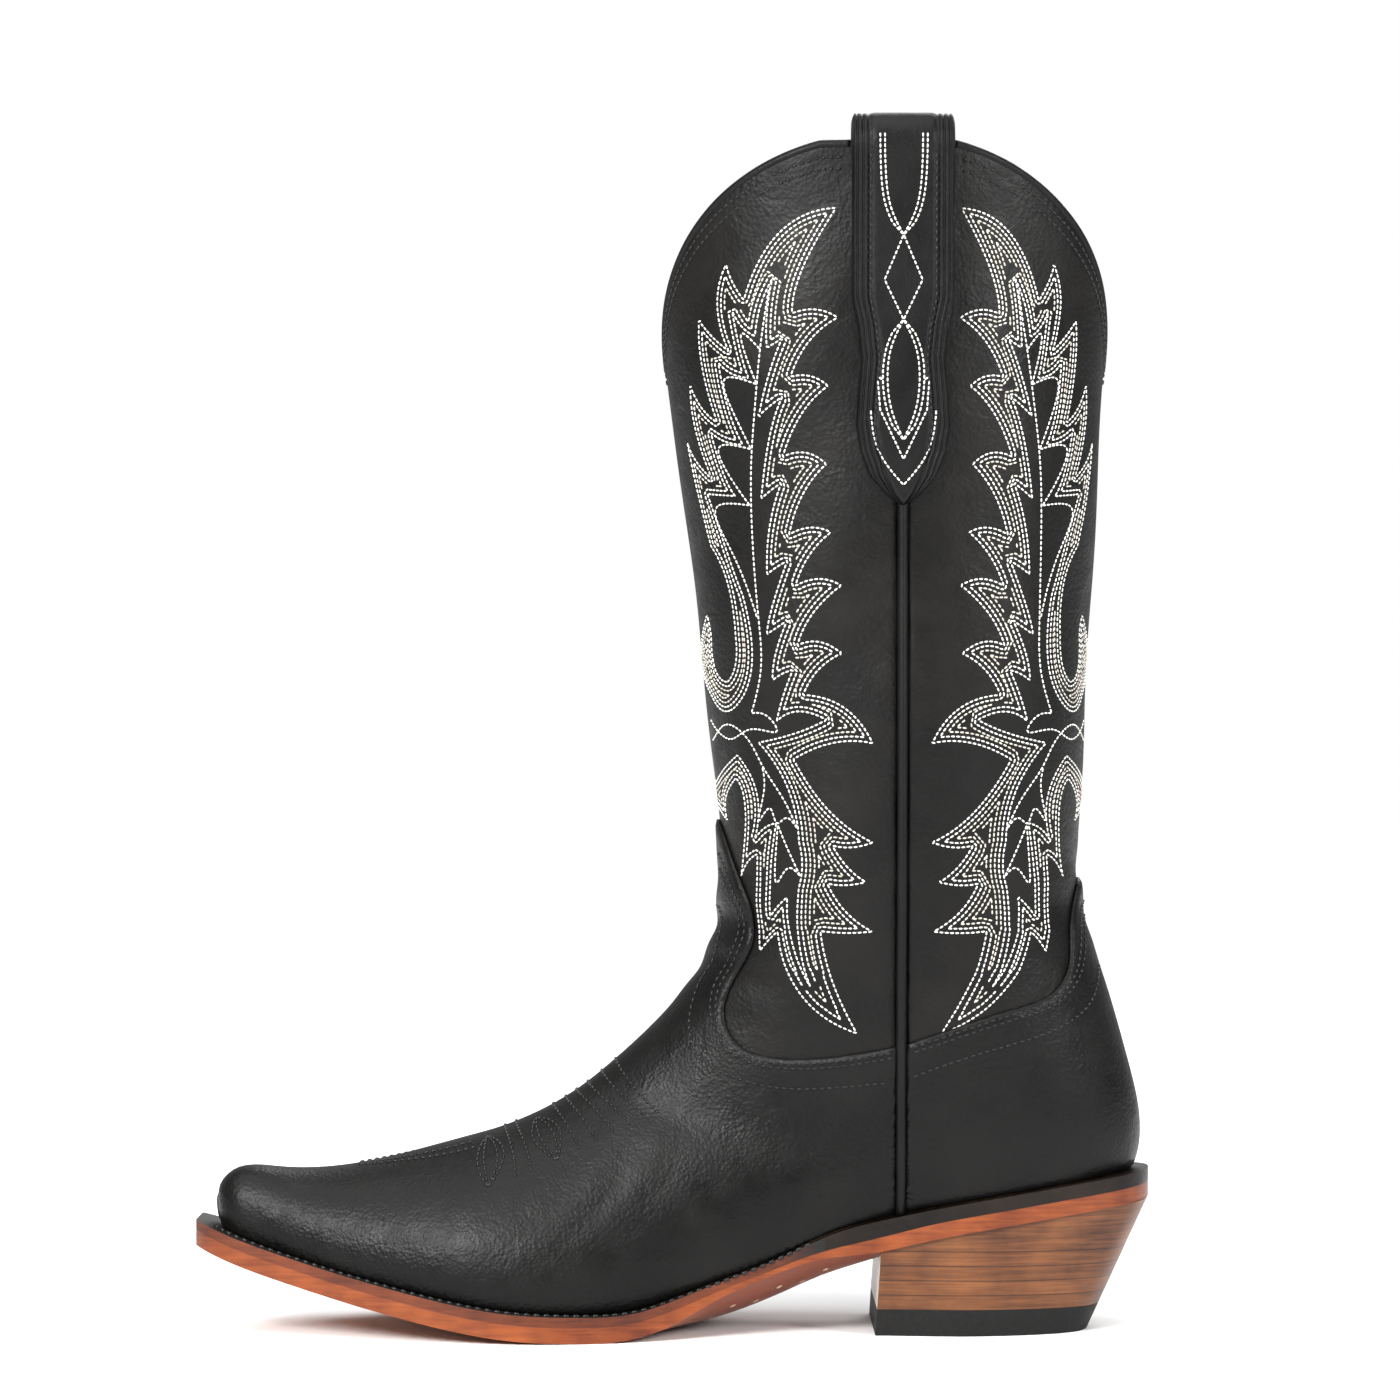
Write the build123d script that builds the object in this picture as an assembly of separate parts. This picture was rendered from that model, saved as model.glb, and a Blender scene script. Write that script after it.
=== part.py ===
from build123d import *

import math
import os

import numpy as np

# Western riding boot for the right foot, in millimetres.  +Z is up, the toe points along -X, the inner
# (medial) side of the foot faces -Y.  The upper is a lofted tube of closed girths that turns from level
# rounds at the shaft to upright rounds at the toe; every leather layer is a band between two offsets of
# that tube, cut along the pattern lines.  The bottom is built from the seat line down: welt and rand,
# outsole with a domed shank, leather heel lifts and a rubber top lift.

# ---- overall sizes ----
boot_length = 294.0  # toe of the welt to the back of the heel rand
shaft_peak = 364.5  # height of the shaft's top edge at the side seams
shaft_dip = 69.5  # depth of the scallops at front and back below the peak
shaft_crest = 2.4  # the top edge runs level this far below the peak, under the pull straps
heel_height = 39.0  # ground to the top of the heel stack, at its back
upper_width = 84.0  # across the upper at the ball

# ---- leather and lining ----
leather = 1.4  # shaft panels, toe puff and heel stiffener
overlay = 1.6  # vamp and heel foxing, which lie on top of the shaft
lining = 1.4
insole_thick = 3.0
sock_thick = 2.5
piping_width = 2.4
piping_proud = 1.0  # side piping above the vamp's outer face
binding_width = 4.0
gap = 0.15  # clearance between neighbouring pieces

# ---- bottom ----
welt_thick = 3.2
outsole_thick = 4.8
toe_margin = 11.0  # welt beyond the upper at the toe
ball_margin = 5.0
waist_margin = 1.4
seat_margin = 2.8
spur_ledge = 6.6  # rand beyond the upper at the back
snip_cut = 2.4  # taken straight off the rounded tip of the sole
welt_ring = 12.0  # width of the welt and rand from the sole's edge inwards
top_lift_thick = 8.2
lift_thick = 4.5
flat_lifts = 4
wedge_lifts = 3
heel_breast = 56.0  # x of the heel breast at the outsole
breast_rake = 2.5  # the breast's foot stands this much further forward
heel_undercut = 18.0  # the heel's back slopes in by this much over its height
heel_taper = 3.5  # each side of the heel slopes in by this much

# ---- pull straps ----
strap_width = 31.0
strap_waist = 25.5
strap_bulb = 28.5
strap_thick = 2.6
strap_rise = 5.6  # top of the loop above the shaft's peak
strap_drop = 112.0  # tip of the strap below the shaft's peak
strap_inside = 75.0  # length of the strap's inner leg
strap_standoff = 1.0

seam_x = 61.0  # both side seams, and the middle of the pull straps
drawn = {"length": 294.0, "peak": 364.5, "heel": 39.0, "width": 84.0, "ankle": 130.0}


def warp(x, z):
    """A point of the drawn side profile, moved for the boot's own length, heel and shaft height."""
    lift = heel_height - drawn["heel"]
    share = min(1.0, max(0.0, (x + 30.0) / 90.0))
    raised = z + lift * share * share * (3 - 2 * share)
    grown = (shaft_peak - lift - drawn["ankle"]) / (drawn["peak"] - drawn["ankle"])
    if z > drawn["ankle"]:
        raised += (z - drawn["ankle"]) * (grown - 1)
    return seam_x + (x - seam_x) * boot_length / drawn["length"], raised


def natural_spline(knots, values):
    """Natural cubic spline through the rows of values; returns a function of the parameter."""
    t, y = np.asarray(knots, float), np.asarray(values, float)
    h = np.diff(t)
    n = len(t)
    system = np.eye(n)
    right = np.zeros_like(y)
    for i in range(1, n - 1):
        system[i, i - 1 : i + 2] = h[i - 1], 2 * (h[i - 1] + h[i]), h[i]
        right[i] = 6 * ((y[i + 1] - y[i]) / h[i] - (y[i] - y[i - 1]) / h[i - 1])
    bend = np.linalg.solve(system, right)

    def at(u):
        i = int(np.clip(np.searchsorted(t, u) - 1, 0, n - 2))
        a, b = (t[i + 1] - u) / h[i], (u - t[i]) / h[i]
        curve = ((a**3 - a) * bend[i] + (b**3 - b) * bend[i + 1]) * h[i] ** 2 / 6
        return a * y[i] + b * y[i + 1] + curve

    return at


# Each girth: front point x, z; back point x, z; half width; sideways shift; lean of its foot towards the
# outer side; fullness towards the back; roundness of its front and back ends (below 1 is blunter).
girths = [
    (-13.5, 380, 127.0, 380, 46.3, 0.0, 0.0, 0.00, 1.00, 1.00),
    (-13.0, 345, 126.4, 345, 46.2, 0.0, 0.0, 0.00, 1.00, 1.00),
    (-12.0, 308, 125.6, 308, 46.0, 0.0, 0.0, 0.00, 1.00, 1.00),
    (-8.3, 282, 124.0, 282, 45.6, 0.0, 0.0, 0.00, 1.00, 1.00),
    (-3.6, 245, 121.8, 245, 45.0, 0.0, 0.0, 0.00, 1.00, 1.00),
    (0.4, 209, 120.4, 209, 44.2, 0.0, 0.0, 0.00, 1.00, 1.00),
    (4.4, 172, 118.6, 172, 42.8, 0.0, 0.0, 0.00, 1.00, 1.00),
    (6.6, 144, 116.8, 143, 40.6, 0.0, 0.0, 0.02, 0.98, 0.97),
    (6.2, 124, 118.1, 126, 38.6, 0.0, 0.0, 0.06, 0.96, 0.94),
    (1.6, 111.6, 123.9, 107, 36.6, 0.0, 0.0, 0.10, 0.94, 0.90),
    (-6.4, 100.4, 131.1, 82, 35.0, 0.0, 0.0, 0.16, 0.92, 0.86),
    (-16.0, 90.1, 134.5, 58, 33.4, 0.0, 0.2, 0.22, 0.92, 0.84),
    (-27.6, 79.6, 124.6, 40, 32.0, 0.0, 1.0, 0.28, 0.92, 0.84),
    (-40.3, 70.3, 84.0, 33.5, 32.8, 0.0, 3.4, 0.34, 0.94, 0.84),
    (-54.4, 62.9, 38.0, 22.0, 35.6, 0.0, 3.2, 0.46, 0.96, 0.86),
    (-67.5, 58.5, -4.0, 5.0, 38.8, 0.0, 1.0, 0.60, 1.00, 0.86),
    (-82.6, 54.4, -46.0, -6.0, 39.6, 0.0, 0.0, 0.62, 1.00, 0.84),
    (-99.2, 50.3, -78.0, -2.0, 33.0, -0.5, 0.0, 0.56, 0.96, 0.84),
    (-116.8, 47.8, -104.0, 6.0, 24.4, -1.5, 0.0, 0.46, 0.86, 0.84),
    (-130.6, 48.0, -123.0, 15.0, 17.6, -2.5, 0.0, 0.36, 0.74, 0.80),
    (-139.4, 48.5, -137.8, 21.5, 13.2, -3.0, 0.0, 0.22, 0.66, 0.70),
    (-144.3, 46.9, -143.4, 26.0, 10.4, -3.2, 0.0, 0.08, 0.66, 0.66),
    (-146.6, 44.4, -145.3, 29.0, 7.8, -3.2, 0.0, 0.00, 0.70, 0.70),
    (-147.2, 41.6, -146.4, 33.4, 5.0, -3.2, 0.0, 0.00, 0.80, 0.80),
]

# Seat line: top of the welt and rand, where the upper stands on them.
seat_line = [
    (-165, 39.0), (-146, 31.0), (-118, 21.9), (-93, 15.6), (-74, 11.5), (-56, 8.9), (-40, 8.1),
    (-29, 8.0), (-19, 9.0), (-6, 13.0), (8, 18.0), (22, 23.2), (30, 26.8), (38, 30.4), (46, 33.2), (56, 35.6),
    (70, 38.6), (100, 44.0), (130, 48.6), (150, 51.4),
]  # fmt: skip
# Along x: share of the welt's thickness, share of the outsole's thickness at the edge, and the height of
# the shank's keel, the lowest line of its dome.
bottom_line = [
    (-165, 1.00, 1.00, None), (-19, 1.00, 1.00, 0.0), (-10, 1.00, 0.98, 0.4), (0, 0.75, 0.62, 1.8),
    (8, 0.52, 0.38, 3.9), (14, 0.46, 0.22, 5.8), (24, 0.44, 0.17, 10.0), (32, 0.55, 0.20, 13.6),
    (38, 0.85, 0.30, 16.4), (46, 1.22, 0.66, 19.0), (56, 1.31, 0.96, 22.0), (72, 1.31, 1.00, None),
    (160, 1.31, 1.00, None),
]  # fmt: skip
vamp_edge = [
    (61, 89.2), (42, 85.8), (24, 85.0), (12.5, 88.2), (7.0, 97.0), (10.0, 109.0), (15.6, 121.0),
    (15.4, 128.0), (10.6, 141.0), (5.2, 155.3), (0.0, 167.0),
]  # fmt: skip
lap_edge_front = [
    (61, 78.6), (44, 76.8), (26, 76.0), (10.0, 79.2), (-0.6, 86.0), (-2.4, 95.0), (2.0, 108.0),
    (7.6, 121.0), (6.6, 133.0), (2.0, 150.0),
]  # fmt: skip
foxing_edge = [
    (61, 89.2), (76, 94.2), (96, 100.4), (108.5, 105.6), (113.6, 114.0), (114.2, 124.0), (117.4, 137.2),
    (121.0, 148.0),
]  # fmt: skip
lap_edge_back = [
    (61, 78.6), (80, 85.6), (97, 90.4), (110, 95.0), (118, 101.0), (121.6, 111.0), (121.2, 122.0),
    (118.8, 131.0), (119.6, 144.0),
]  # fmt: skip
toe_puff_back = -106.0

width_scale = upper_width / drawn["width"]


def girth_table():
    rows = []
    for xf, zf, xb, zb, half, shift, *rest in girths:
        front, back = warp(xf, zf), warp(xb, zb)
        rows.append([*front, *back, half * width_scale, shift * width_scale, *rest])
    return np.array(rows)


table = girth_table()
steps = np.linalg.norm(np.diff(table[:, :4], axis=0), axis=1)
girth_knots = np.concatenate([[0], np.cumsum(np.maximum(steps, 4.0))])
girth_at = natural_spline(girth_knots, table)


def girth_points(u, angles):
    """Points round the girth at u: half ellipse-like arcs between its front and back points."""
    xf, zf, xb, zb, half, shift, lean, full, blunt_f, blunt_b = girth_at(u)
    s, c = np.sin(angles), np.cos(angles)
    share = (1 - c) / 2
    power = blunt_f + (blunt_b - blunt_f) * share
    t = share + full * share * (1 - share)
    across = half * np.sign(s) * np.maximum(np.abs(s), 1e-9) ** power
    return np.stack([xf + (xb - xf) * t, across + shift + lean * t, zf + (zb - zf) * t], axis=-1)


def offset_girth(u, angles, distance):
    """The girth at u moved out along the tube's own normal."""
    du, da = 0.4, 0.01
    here = girth_points(u, angles)
    low, high = max(girth_knots[0], u - du), min(girth_knots[-1], u + du)
    along = girth_points(high, angles) - girth_points(low, angles)
    around = girth_points(u, angles + da) - girth_points(u, angles - da)
    normal = np.cross(around, along)
    normal /= np.linalg.norm(normal, axis=-1, keepdims=True)
    middle = here.mean(axis=0)
    outward = np.sign(np.sum(normal * (here - middle), axis=-1).sum())
    return here + normal * outward * distance


def section(u, distance, ends):
    """Closed round of two smooth edges that meet in the middle of each side; end rounds are made flat."""
    half, eps = 14, 0.01
    start = math.pi / 2
    angles = np.linspace(start, start + 2 * math.pi, 2 * half + 1)
    joints = np.array([start - eps, start + eps, start + math.pi - eps, start + math.pi + eps])
    points = offset_girth(u, np.concatenate([angles, joints]), distance)
    points[2 * half] = points[0]
    if u == ends[0]:
        points[:, 2] = points[:, 2].mean()
    elif u == ends[1]:
        middle = points.mean(axis=0)
        normal = np.linalg.svd(points - middle)[2][2]
        points -= np.outer((points - middle) @ normal, normal)
    at_start, at_half = points[-3] - points[-4], points[-1] - points[-2]
    edges = []
    for first, tangents in ((0, (at_start, at_half)), (half, (at_half, at_start))):
        edges.append(
            Edge.make_spline(
                [Vector(*p) for p in points[first : first + half + 1]],
                tangents=[Vector(*t).normalized() for t in tangents],
                parameters=[i / half for i in range(half + 1)],
            )
        )
    return Wire(edges)


def tube(distance, last_knot=None):
    """Solid of the upper's tube, offset by distance from the shaft's outer face."""
    stops = np.concatenate([np.linspace(0, girth_knots[-4], 27), girth_knots[-3:]])
    if last_knot is not None:
        stops = girth_knots[: last_knot + 1]
    return Solid.make_loft([section(u, distance, (stops[0], stops[-1])) for u in stops])


# ---- helpers for cutting ----
big = 400.0


def prism_y(points):
    """Straight-sided polygon in the side view, pushed through the whole boot."""
    face = Face(Wire.make_polygon([Vector(x, 0, z) for x, z in points], close=True))
    return extrude(face, amount=big / 2, dir=(0, 1, 0), both=True)


def region_y(edge_points, closing):
    """Region of the side view bounded by a smooth pattern line and straight closing corners."""
    line = Edge.make_spline([Vector(*_xz(p)) for p in edge_points])
    corners = [Vector(*_xz(p)) for p in [edge_points[-1], *closing, edge_points[0]]]
    sides = [Edge.make_line(a, b) for a, b in zip(corners, corners[1:])]
    return extrude(Face(Wire([line, *sides])), amount=big / 2, dir=(0, 1, 0), both=True)


def _xz(point):
    x, z = warp(*point)
    return x, 0, z


def below_line(line, drop=0.0):
    """Everything under a line of heights along x, lowered by drop."""
    pts = [(x, z - drop) for x, z in (warp(*p) for p in line)]
    edge = Edge.make_spline([Vector(x, 0, z) for x, z in pts])
    corners = [pts[-1], (pts[-1][0], -60), (pts[0][0], -60), pts[0]]
    vectors = [Vector(x, 0, z) for x, z in corners]
    sides = [Edge.make_line(a, b) for a, b in zip(vectors, vectors[1:])]
    return extrude(Face(Wire([edge, *sides])), amount=big / 2, dir=(0, 1, 0), both=True)


def topline_region(lowered):
    """Everything under the scalloped top edge, lowered by a distance: deep dips front and back."""
    crest = table[1, 4]
    half = crest + 6
    level = crest * (1 - shaft_crest / shaft_dip) ** (1 / 0.77)
    shares = np.array([0.0, 0.04, 0.13, 0.3, 0.55, 0.8, 1.0]) * level

    def rise(y):
        return shaft_peak - shaft_dip + shaft_dip * (y / crest) ** 0.77 - lowered

    right = [Vector(0, y, rise(y)) for y in shares]
    left = [Vector(0, -y, rise(y)) for y in shares[::-1]]
    top_right, top_left = Vector(0, half, right[-1].Z), Vector(0, -half, right[-1].Z)
    low_right, low_left = Vector(0, half, -60), Vector(0, -half, -60)
    edges = [
        Edge.make_spline(left),
        Edge.make_spline(right),
        Edge.make_line(right[-1], top_right),
        Edge.make_line(top_right, low_right),
        Edge.make_line(low_right, low_left),
        Edge.make_line(low_left, top_left),
        Edge.make_line(top_left, left[0]),
    ]
    return extrude(Face(Wire(edges)), amount=big, dir=(1, 0, 0), both=True)


def solids_of(shape, least=1.0):
    """The solids of a cut result, without slivers under a cubic millimetre or so."""
    return [s for s in shape.solids() if s.volume > least]


# ---- plan outlines, worked out from the tube where it meets the seat line ----
def feather_side(side):
    """x and half width of the upper where it stands on the seat line, from the toe to the heel's back."""
    rows = []
    for u in np.linspace(girth_knots[9], girth_knots[-1], 260):
        angles = np.linspace(0.02, math.pi - 0.02, 160) * side
        points = offset_girth(u, angles, overlay)
        above = np.array([p[2] - seat_height(p[0]) for p in points])
        crossing = np.where((above[:-1] > 0) & (above[1:] <= 0))[0]
        if len(crossing):
            i = crossing[-1]
            f = above[i] / (above[i] - above[i + 1])
            rows.append(points[i] + f * (points[i + 1] - points[i]))
    return np.array(rows)


_seat = natural_spline(*np.array([warp(*p) for p in seat_line]).T)
_seat_low, _seat_high = warp(*seat_line[0])[0], warp(*seat_line[-1])[0]


def seat_height(x):
    return float(_seat(min(max(x, _seat_low), _seat_high)))


def feather_loop():
    """Closed plan outline of the upper at the seat line, about one point every few millimetres."""
    medial, lateral = feather_side(-1), feather_side(1)
    loop = np.concatenate([medial[::-1], lateral])[:, :2]
    loop = loop[np.concatenate([[True], np.linalg.norm(np.diff(loop, axis=0), axis=1) > 1e-3])]
    closed = np.vstack([loop, loop[:1]])
    length = np.concatenate([[0], np.cumsum(np.linalg.norm(np.diff(closed, axis=0), axis=1))])
    even = np.linspace(0, length[-1], 361)[:-1]
    loop = np.stack([np.interp(even, length, closed[:, i]) for i in (0, 1)], axis=1)
    for _ in range(6):
        loop = (np.roll(loop, 1, 0) + 2 * loop + np.roll(loop, -1, 0)) / 4
    return loop


def margin_at(x):
    """How far the sole stands out beyond the upper, along x."""
    toe, back = warp(-150, 0)[0], warp(133, 0)[0]
    stops = [toe, warp(-139, 0)[0], warp(-120, 0)[0], warp(-20, 0)[0], warp(14, 0)[0], warp(36, 0)[0],
             warp(60, 0)[0], warp(112, 0)[0], back]  # fmt: skip
    sizes = [toe_margin, toe_margin * 0.66, ball_margin, ball_margin, waist_margin, waist_margin,
             seat_margin, seat_margin, spur_ledge]  # fmt: skip
    return np.interp(x, stops, sizes)


def offset_loop(loop, amounts):
    """A closed plan loop moved out by its own normals."""
    tangent = np.roll(loop, -2, 0) - np.roll(loop, 2, 0)
    normal = np.stack([tangent[:, 1], -tangent[:, 0]], axis=1)
    normal /= np.linalg.norm(normal, axis=1, keepdims=True)
    area = np.sum(loop[:, 0] * np.roll(loop[:, 1], -1) - np.roll(loop[:, 0], -1) * loop[:, 1])
    moved = loop + normal * np.sign(area) * np.asarray(amounts).reshape(-1, 1)
    for _ in range(8):
        moved = (np.roll(moved, 1, 0) + 2 * moved + np.roll(moved, -1, 0)) / 4
    return moved


def column(loop, low=-60.0, high=120.0, count=60):
    """Upright prism on a closed plan loop."""
    keep = loop[:: max(1, len(loop) // count)]
    edge = Edge.make_spline([Vector(x, y, low) for x, y in keep], periodic=True)
    return extrude(Face(Wire([edge])), amount=high - low, dir=(0, 0, 1))


def box_between(x0, x1, y0=-big / 2, y1=big / 2, z0=-big / 2, z1=big * 1.5):
    return Pos((x0 + x1) / 2, (y0 + y1) / 2, (z0 + z1) / 2) * Box(x1 - x0, y1 - y0, z1 - z0)


def side_at(loop, x, side):
    """The plan loop's y at x on one side."""
    rows = loop[loop[:, 1] * side > 0]
    rows = rows[np.argsort(rows[:, 0])]
    return float(np.interp(x, rows[:, 0], rows[:, 1]))


def half_width_at(loop, x):
    return (side_at(loop, x, 1) - side_at(loop, x, -1)) / 2


def bottom_heights(x, half, y):
    """Heights at x, y of the outsole's top and underside."""
    drawn_x = seam_x + (x - seam_x) * drawn["length"] / boot_length
    xs = [row[0] for row in bottom_line]
    top_edge = seat_height(x) - welt_thick * np.interp(drawn_x, xs, [row[1] for row in bottom_line])
    low_edge = top_edge - outsole_thick * np.interp(drawn_x, xs, [row[2] for row in bottom_line])
    keels = [(row[0], row[3]) for row in bottom_line if row[3] is not None]
    if not keels[0][0] < drawn_x < 72:
        return top_edge, max(0.04, low_edge)
    lift = warp(drawn_x, 0)[1]
    keel = min(low_edge, lift + float(np.interp(drawn_x, [*zip(*keels)][0] + (72,), [*zip(*keels)][1] + (29.8,))))
    bow = abs(y) / half
    bow = bow**2 if bow < 1 else 2 * bow - 1
    top_keel = min(top_edge, keel + outsole_thick)
    return top_keel + (top_edge - top_keel) * bow, max(0.04, keel + (low_edge - keel) * bow)


def under_surface(loop, which):
    """Everything under the outsole's top (which 0) or underside (which 1)."""
    start, end = warp(-170, 0)[0], warp(160, 0)[0]
    wide = 62.0 * width_scale
    xs, ys = np.linspace(start, end, 67), np.linspace(-wide, wide, 25)
    rows = []
    for x in xs:
        half = max(18.0, half_width_at(loop, x)) if loop[:, 0].min() < x < loop[:, 0].max() else 18.0
        rows.append([bottom_heights(x, half, y)[which] for y in ys])
    heights = np.array(rows)
    for _ in range(2):
        heights[1:-1] = (heights[:-2] + 2 * heights[1:-1] + heights[2:]) / 4
    grid = [[Vector(x, y, z) for y, z in zip(ys, row)] for x, row in zip(xs, heights)]
    face = Face.make_surface_from_array_of_points(grid, tol=0.02)
    return extrude(face, amount=120, dir=(0, 0, -1))


# ---- upper ----
def make_upper(tubes, above_seat, parts):
    """Shaft panels, vamp, foxing, linings and the stiffening pieces between them."""
    outer, face, middle, inner = (tubes[k] for k in ("outer", "face", "middle", "inner"))
    under_top = topline_region(0.0)
    vamp_zone = region_y(vamp_edge, [(-190, 167), (-190, -40), (61, -40)])
    fox_zone = region_y(foxing_edge, [(175, 148), (175, -40), (61, -40)])
    foot_front = region_y(lap_edge_front, [(-190, 150), (-190, -40), (61, -40)])
    foot_back = region_y(lap_edge_back, [(175, 144), (175, -40), (61, -40)])
    seam = warp(seam_x, 0)[0]
    slot = piping_width / 2 + gap
    ahead = box_between(-big, seam - slot)
    behind = box_between(seam + slot, big)

    shell_outer = outer - face
    shell_leather = (face - middle) & above_seat & under_top
    shell_lining = (middle - inner) & above_seat & under_top

    parts["vamp"] = shell_outer & above_seat & vamp_zone & ahead
    parts["heel_foxing"] = shell_outer & above_seat & fox_zone & behind
    parts["front_shaft_panel"] = (shell_leather & ahead) - foot_front
    parts["back_shaft_panel"] = (shell_leather & behind) - foot_back
    lining_ahead = box_between(-big, seam)
    lining_behind = box_between(seam, big)
    parts["front_shaft_lining"] = (shell_lining & lining_ahead) - foot_front
    parts["back_shaft_lining"] = (shell_lining & lining_behind) - foot_back

    foot_leather_front = shell_leather & ahead & foot_front
    foot_leather_back = shell_leather & behind & foot_back
    puff_zone = box_between(-big, warp(toe_puff_back, 0)[0])
    parts["toe_puff"] = foot_leather_front & puff_zone
    parts["vamp_interlining"] = foot_leather_front - puff_zone
    parts["heel_stiffener"] = foot_leather_back
    parts["vamp_lining"] = shell_lining & lining_ahead & foot_front
    parts["heel_lining"] = shell_lining & lining_behind & foot_back


def make_piping(tubes, above_seat, parts):
    """A strip of rolled leather in each side seam, from the strap's tip down to the welt."""
    seam = warp(seam_x, 0)[0]
    tip = shaft_peak - strap_drop
    strip = (tubes["piping"] - tubes["middle"]) & above_seat
    strip = strip & box_between(seam - piping_width / 2, seam + piping_width / 2, z1=tip)
    parts["medial_side_piping"] = strip & box_between(-big, big, y1=0.0)
    parts["lateral_side_piping"] = strip & box_between(-big, big, y0=0.0)


def make_binding(tubes, parts):
    """A strip folded over the raw top edge of each shaft panel."""
    seam = warp(seam_x, 0)[0]
    band = topline_region(-overlay) - topline_region(binding_width)
    shell = (tubes["outer"] - tubes["deep"]) & band
    core = (tubes["face_gap"] - tubes["inner_gap"]) & topline_region(-gap)
    folded = shell - core
    clear = strap_width / 2 + 0.6
    parts["front_top_binding"] = folded & box_between(-big, seam - clear)
    parts["back_top_binding"] = folded & box_between(seam + clear, big)


def strap_line(side):
    """Side face of the shaft along the seam: height and distance out, from the tip to the top."""
    seam = warp(seam_x, 0)[0]
    rows = []
    for z in np.linspace(shaft_peak - strap_drop - 2, shaft_peak, 6):
        best = None
        for u in np.linspace(girth_knots[0], girth_knots[7], 120):
            row = girth_at(u)
            if best is None or abs((row[1] + row[3]) / 2 - z) < best[0]:
                best = (abs((row[1] + row[3]) / 2 - z), row)
        row = best[1]
        middle, reach = (row[0] + row[2]) / 2, (row[2] - row[0]) / 2
        rows.append((z, side * row[4] * math.sqrt(max(0.0, 1 - ((seam - middle) / reach) ** 2))))
    return rows


def make_straps(parts):
    """Leather loops over the shaft's peaks, with a shaped outer leg and a plain inner leg."""
    seam = warp(seam_x, 0)[0]
    tip = shaft_peak - strap_drop
    for name, side in (("medial", -1), ("lateral", 1)):
        line = strap_line(side)
        wall = leather + lining
        outside, inside = [], []
        top = shaft_peak + strap_rise
        for z, y in line:
            flare = strap_standoff + 0.35 + 3.2 * max(0.0, (z - tip - 55) / (strap_drop - 55)) ** 2
            outside.append((y + side * flare, z))
        for z, y in line:
            if z > shaft_peak - strap_inside:
                inside.append((y - side * (wall + 1.9 + strap_standoff), z))
        mid = (outside[-1][0] + inside[-1][0]) / 2
        half = abs(outside[-1][0] - inside[-1][0]) / 2
        crown = top - strap_thick
        path_in = [*outside, (mid + side * half * 0.72, crown - 1.0), (mid, crown),
                   (mid - side * half * 0.72, crown - 1.0), *inside[::-1]]  # fmt: skip
        path_in = np.array(path_in)
        tangent = np.gradient(path_in, axis=0)
        normal = np.stack([tangent[:, 1], -tangent[:, 0]], axis=1)
        normal /= np.linalg.norm(normal, axis=1, keepdims=True)
        if normal[0, 0] * side < 0:
            normal = -normal
        path_out = path_in + normal * strap_thick
        near = Edge.make_spline([Vector(0, y, z) for y, z in path_in])
        far = Edge.make_spline([Vector(0, y, z) for y, z in path_out[::-1]])
        closed = [
            near,
            Edge.make_line(near @ 1, far @ 0),
            far,
            Edge.make_line(far @ 1, near @ 0),
        ]
        ribbon = extrude(Face(Wire(closed)), amount=strap_width / 2, dir=(1, 0, 0), both=True)
        ribbon = Pos(seam, 0, 0) * ribbon
        shape = strap_outline(seam, tip, top)
        parts[f"{name}_pull_strap"] = ribbon & shape
        cover = Pos(0, side * (strap_thick + gap), 0) * (ribbon & inlay_outline(seam, tip, top))
        outer_half = [(y + side * (strap_thick - 0.2), z) for y, z in outside]
        keep_y = sorted([side * 1000.0, side * (abs(outer_half[-1][0]) - 4.0)])
        cover = cover & box_between(-big, big, y0=keep_y[0], y1=keep_y[1], z1=shaft_peak - 8)
        slim = Pos(0, side * (1.0 - strap_thick), 0) * cover
        parts[f"{name}_strap_inlay"] = (cover & slim) - parts[f"{name}_pull_strap"]


def strap_outline(seam, tip, top):
    """Side view of a pull strap: straight at the top, a narrow waist, a bulb and a pointed tip."""
    w, n, b = strap_width / 2, strap_waist / 2, strap_bulb / 2
    right = [(w, top + 5), (w, tip + 62), (n, tip + 44), (b, tip + 24), (b * 0.72, tip + 9), (0, tip)]
    left = [(-x, z) for x, z in right[::-1]]
    return _leaf(seam, right, left)


def inlay_outline(seam, tip, top):
    """The raised inner panel, a constant rim inside the strap's outline."""
    rim = 5.0
    w, n, b = strap_width / 2 - rim, strap_waist / 2 - rim * 0.9, strap_bulb / 2 - rim * 0.9
    low = tip + 7.0
    right = [(w, top - 12), (w, tip + 62), (n, tip + 44), (b, tip + 25), (b * 0.7, tip + 14), (0, low)]
    left = [(-x, z) for x, z in right[::-1]]
    return _leaf(seam, right, left)


def _leaf(seam, right, left):
    def vec(p):
        return Vector(seam + p[0], 0, p[1])

    straight_r = Edge.make_line(vec(right[0]), vec(right[1]))
    curve_r = Edge.make_spline([vec(p) for p in right[1:]])
    curve_l = Edge.make_spline([vec(p) for p in left[:-1]])
    straight_l = Edge.make_line(vec(left[-2]), vec(left[-1]))
    lid = Edge.make_line(vec(left[-1]), vec(right[0]))
    face = Face(Wire([straight_r, curve_r, curve_l, straight_l, lid]))
    return extrude(face, amount=big / 2, dir=(0, 1, 0), both=True)


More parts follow.
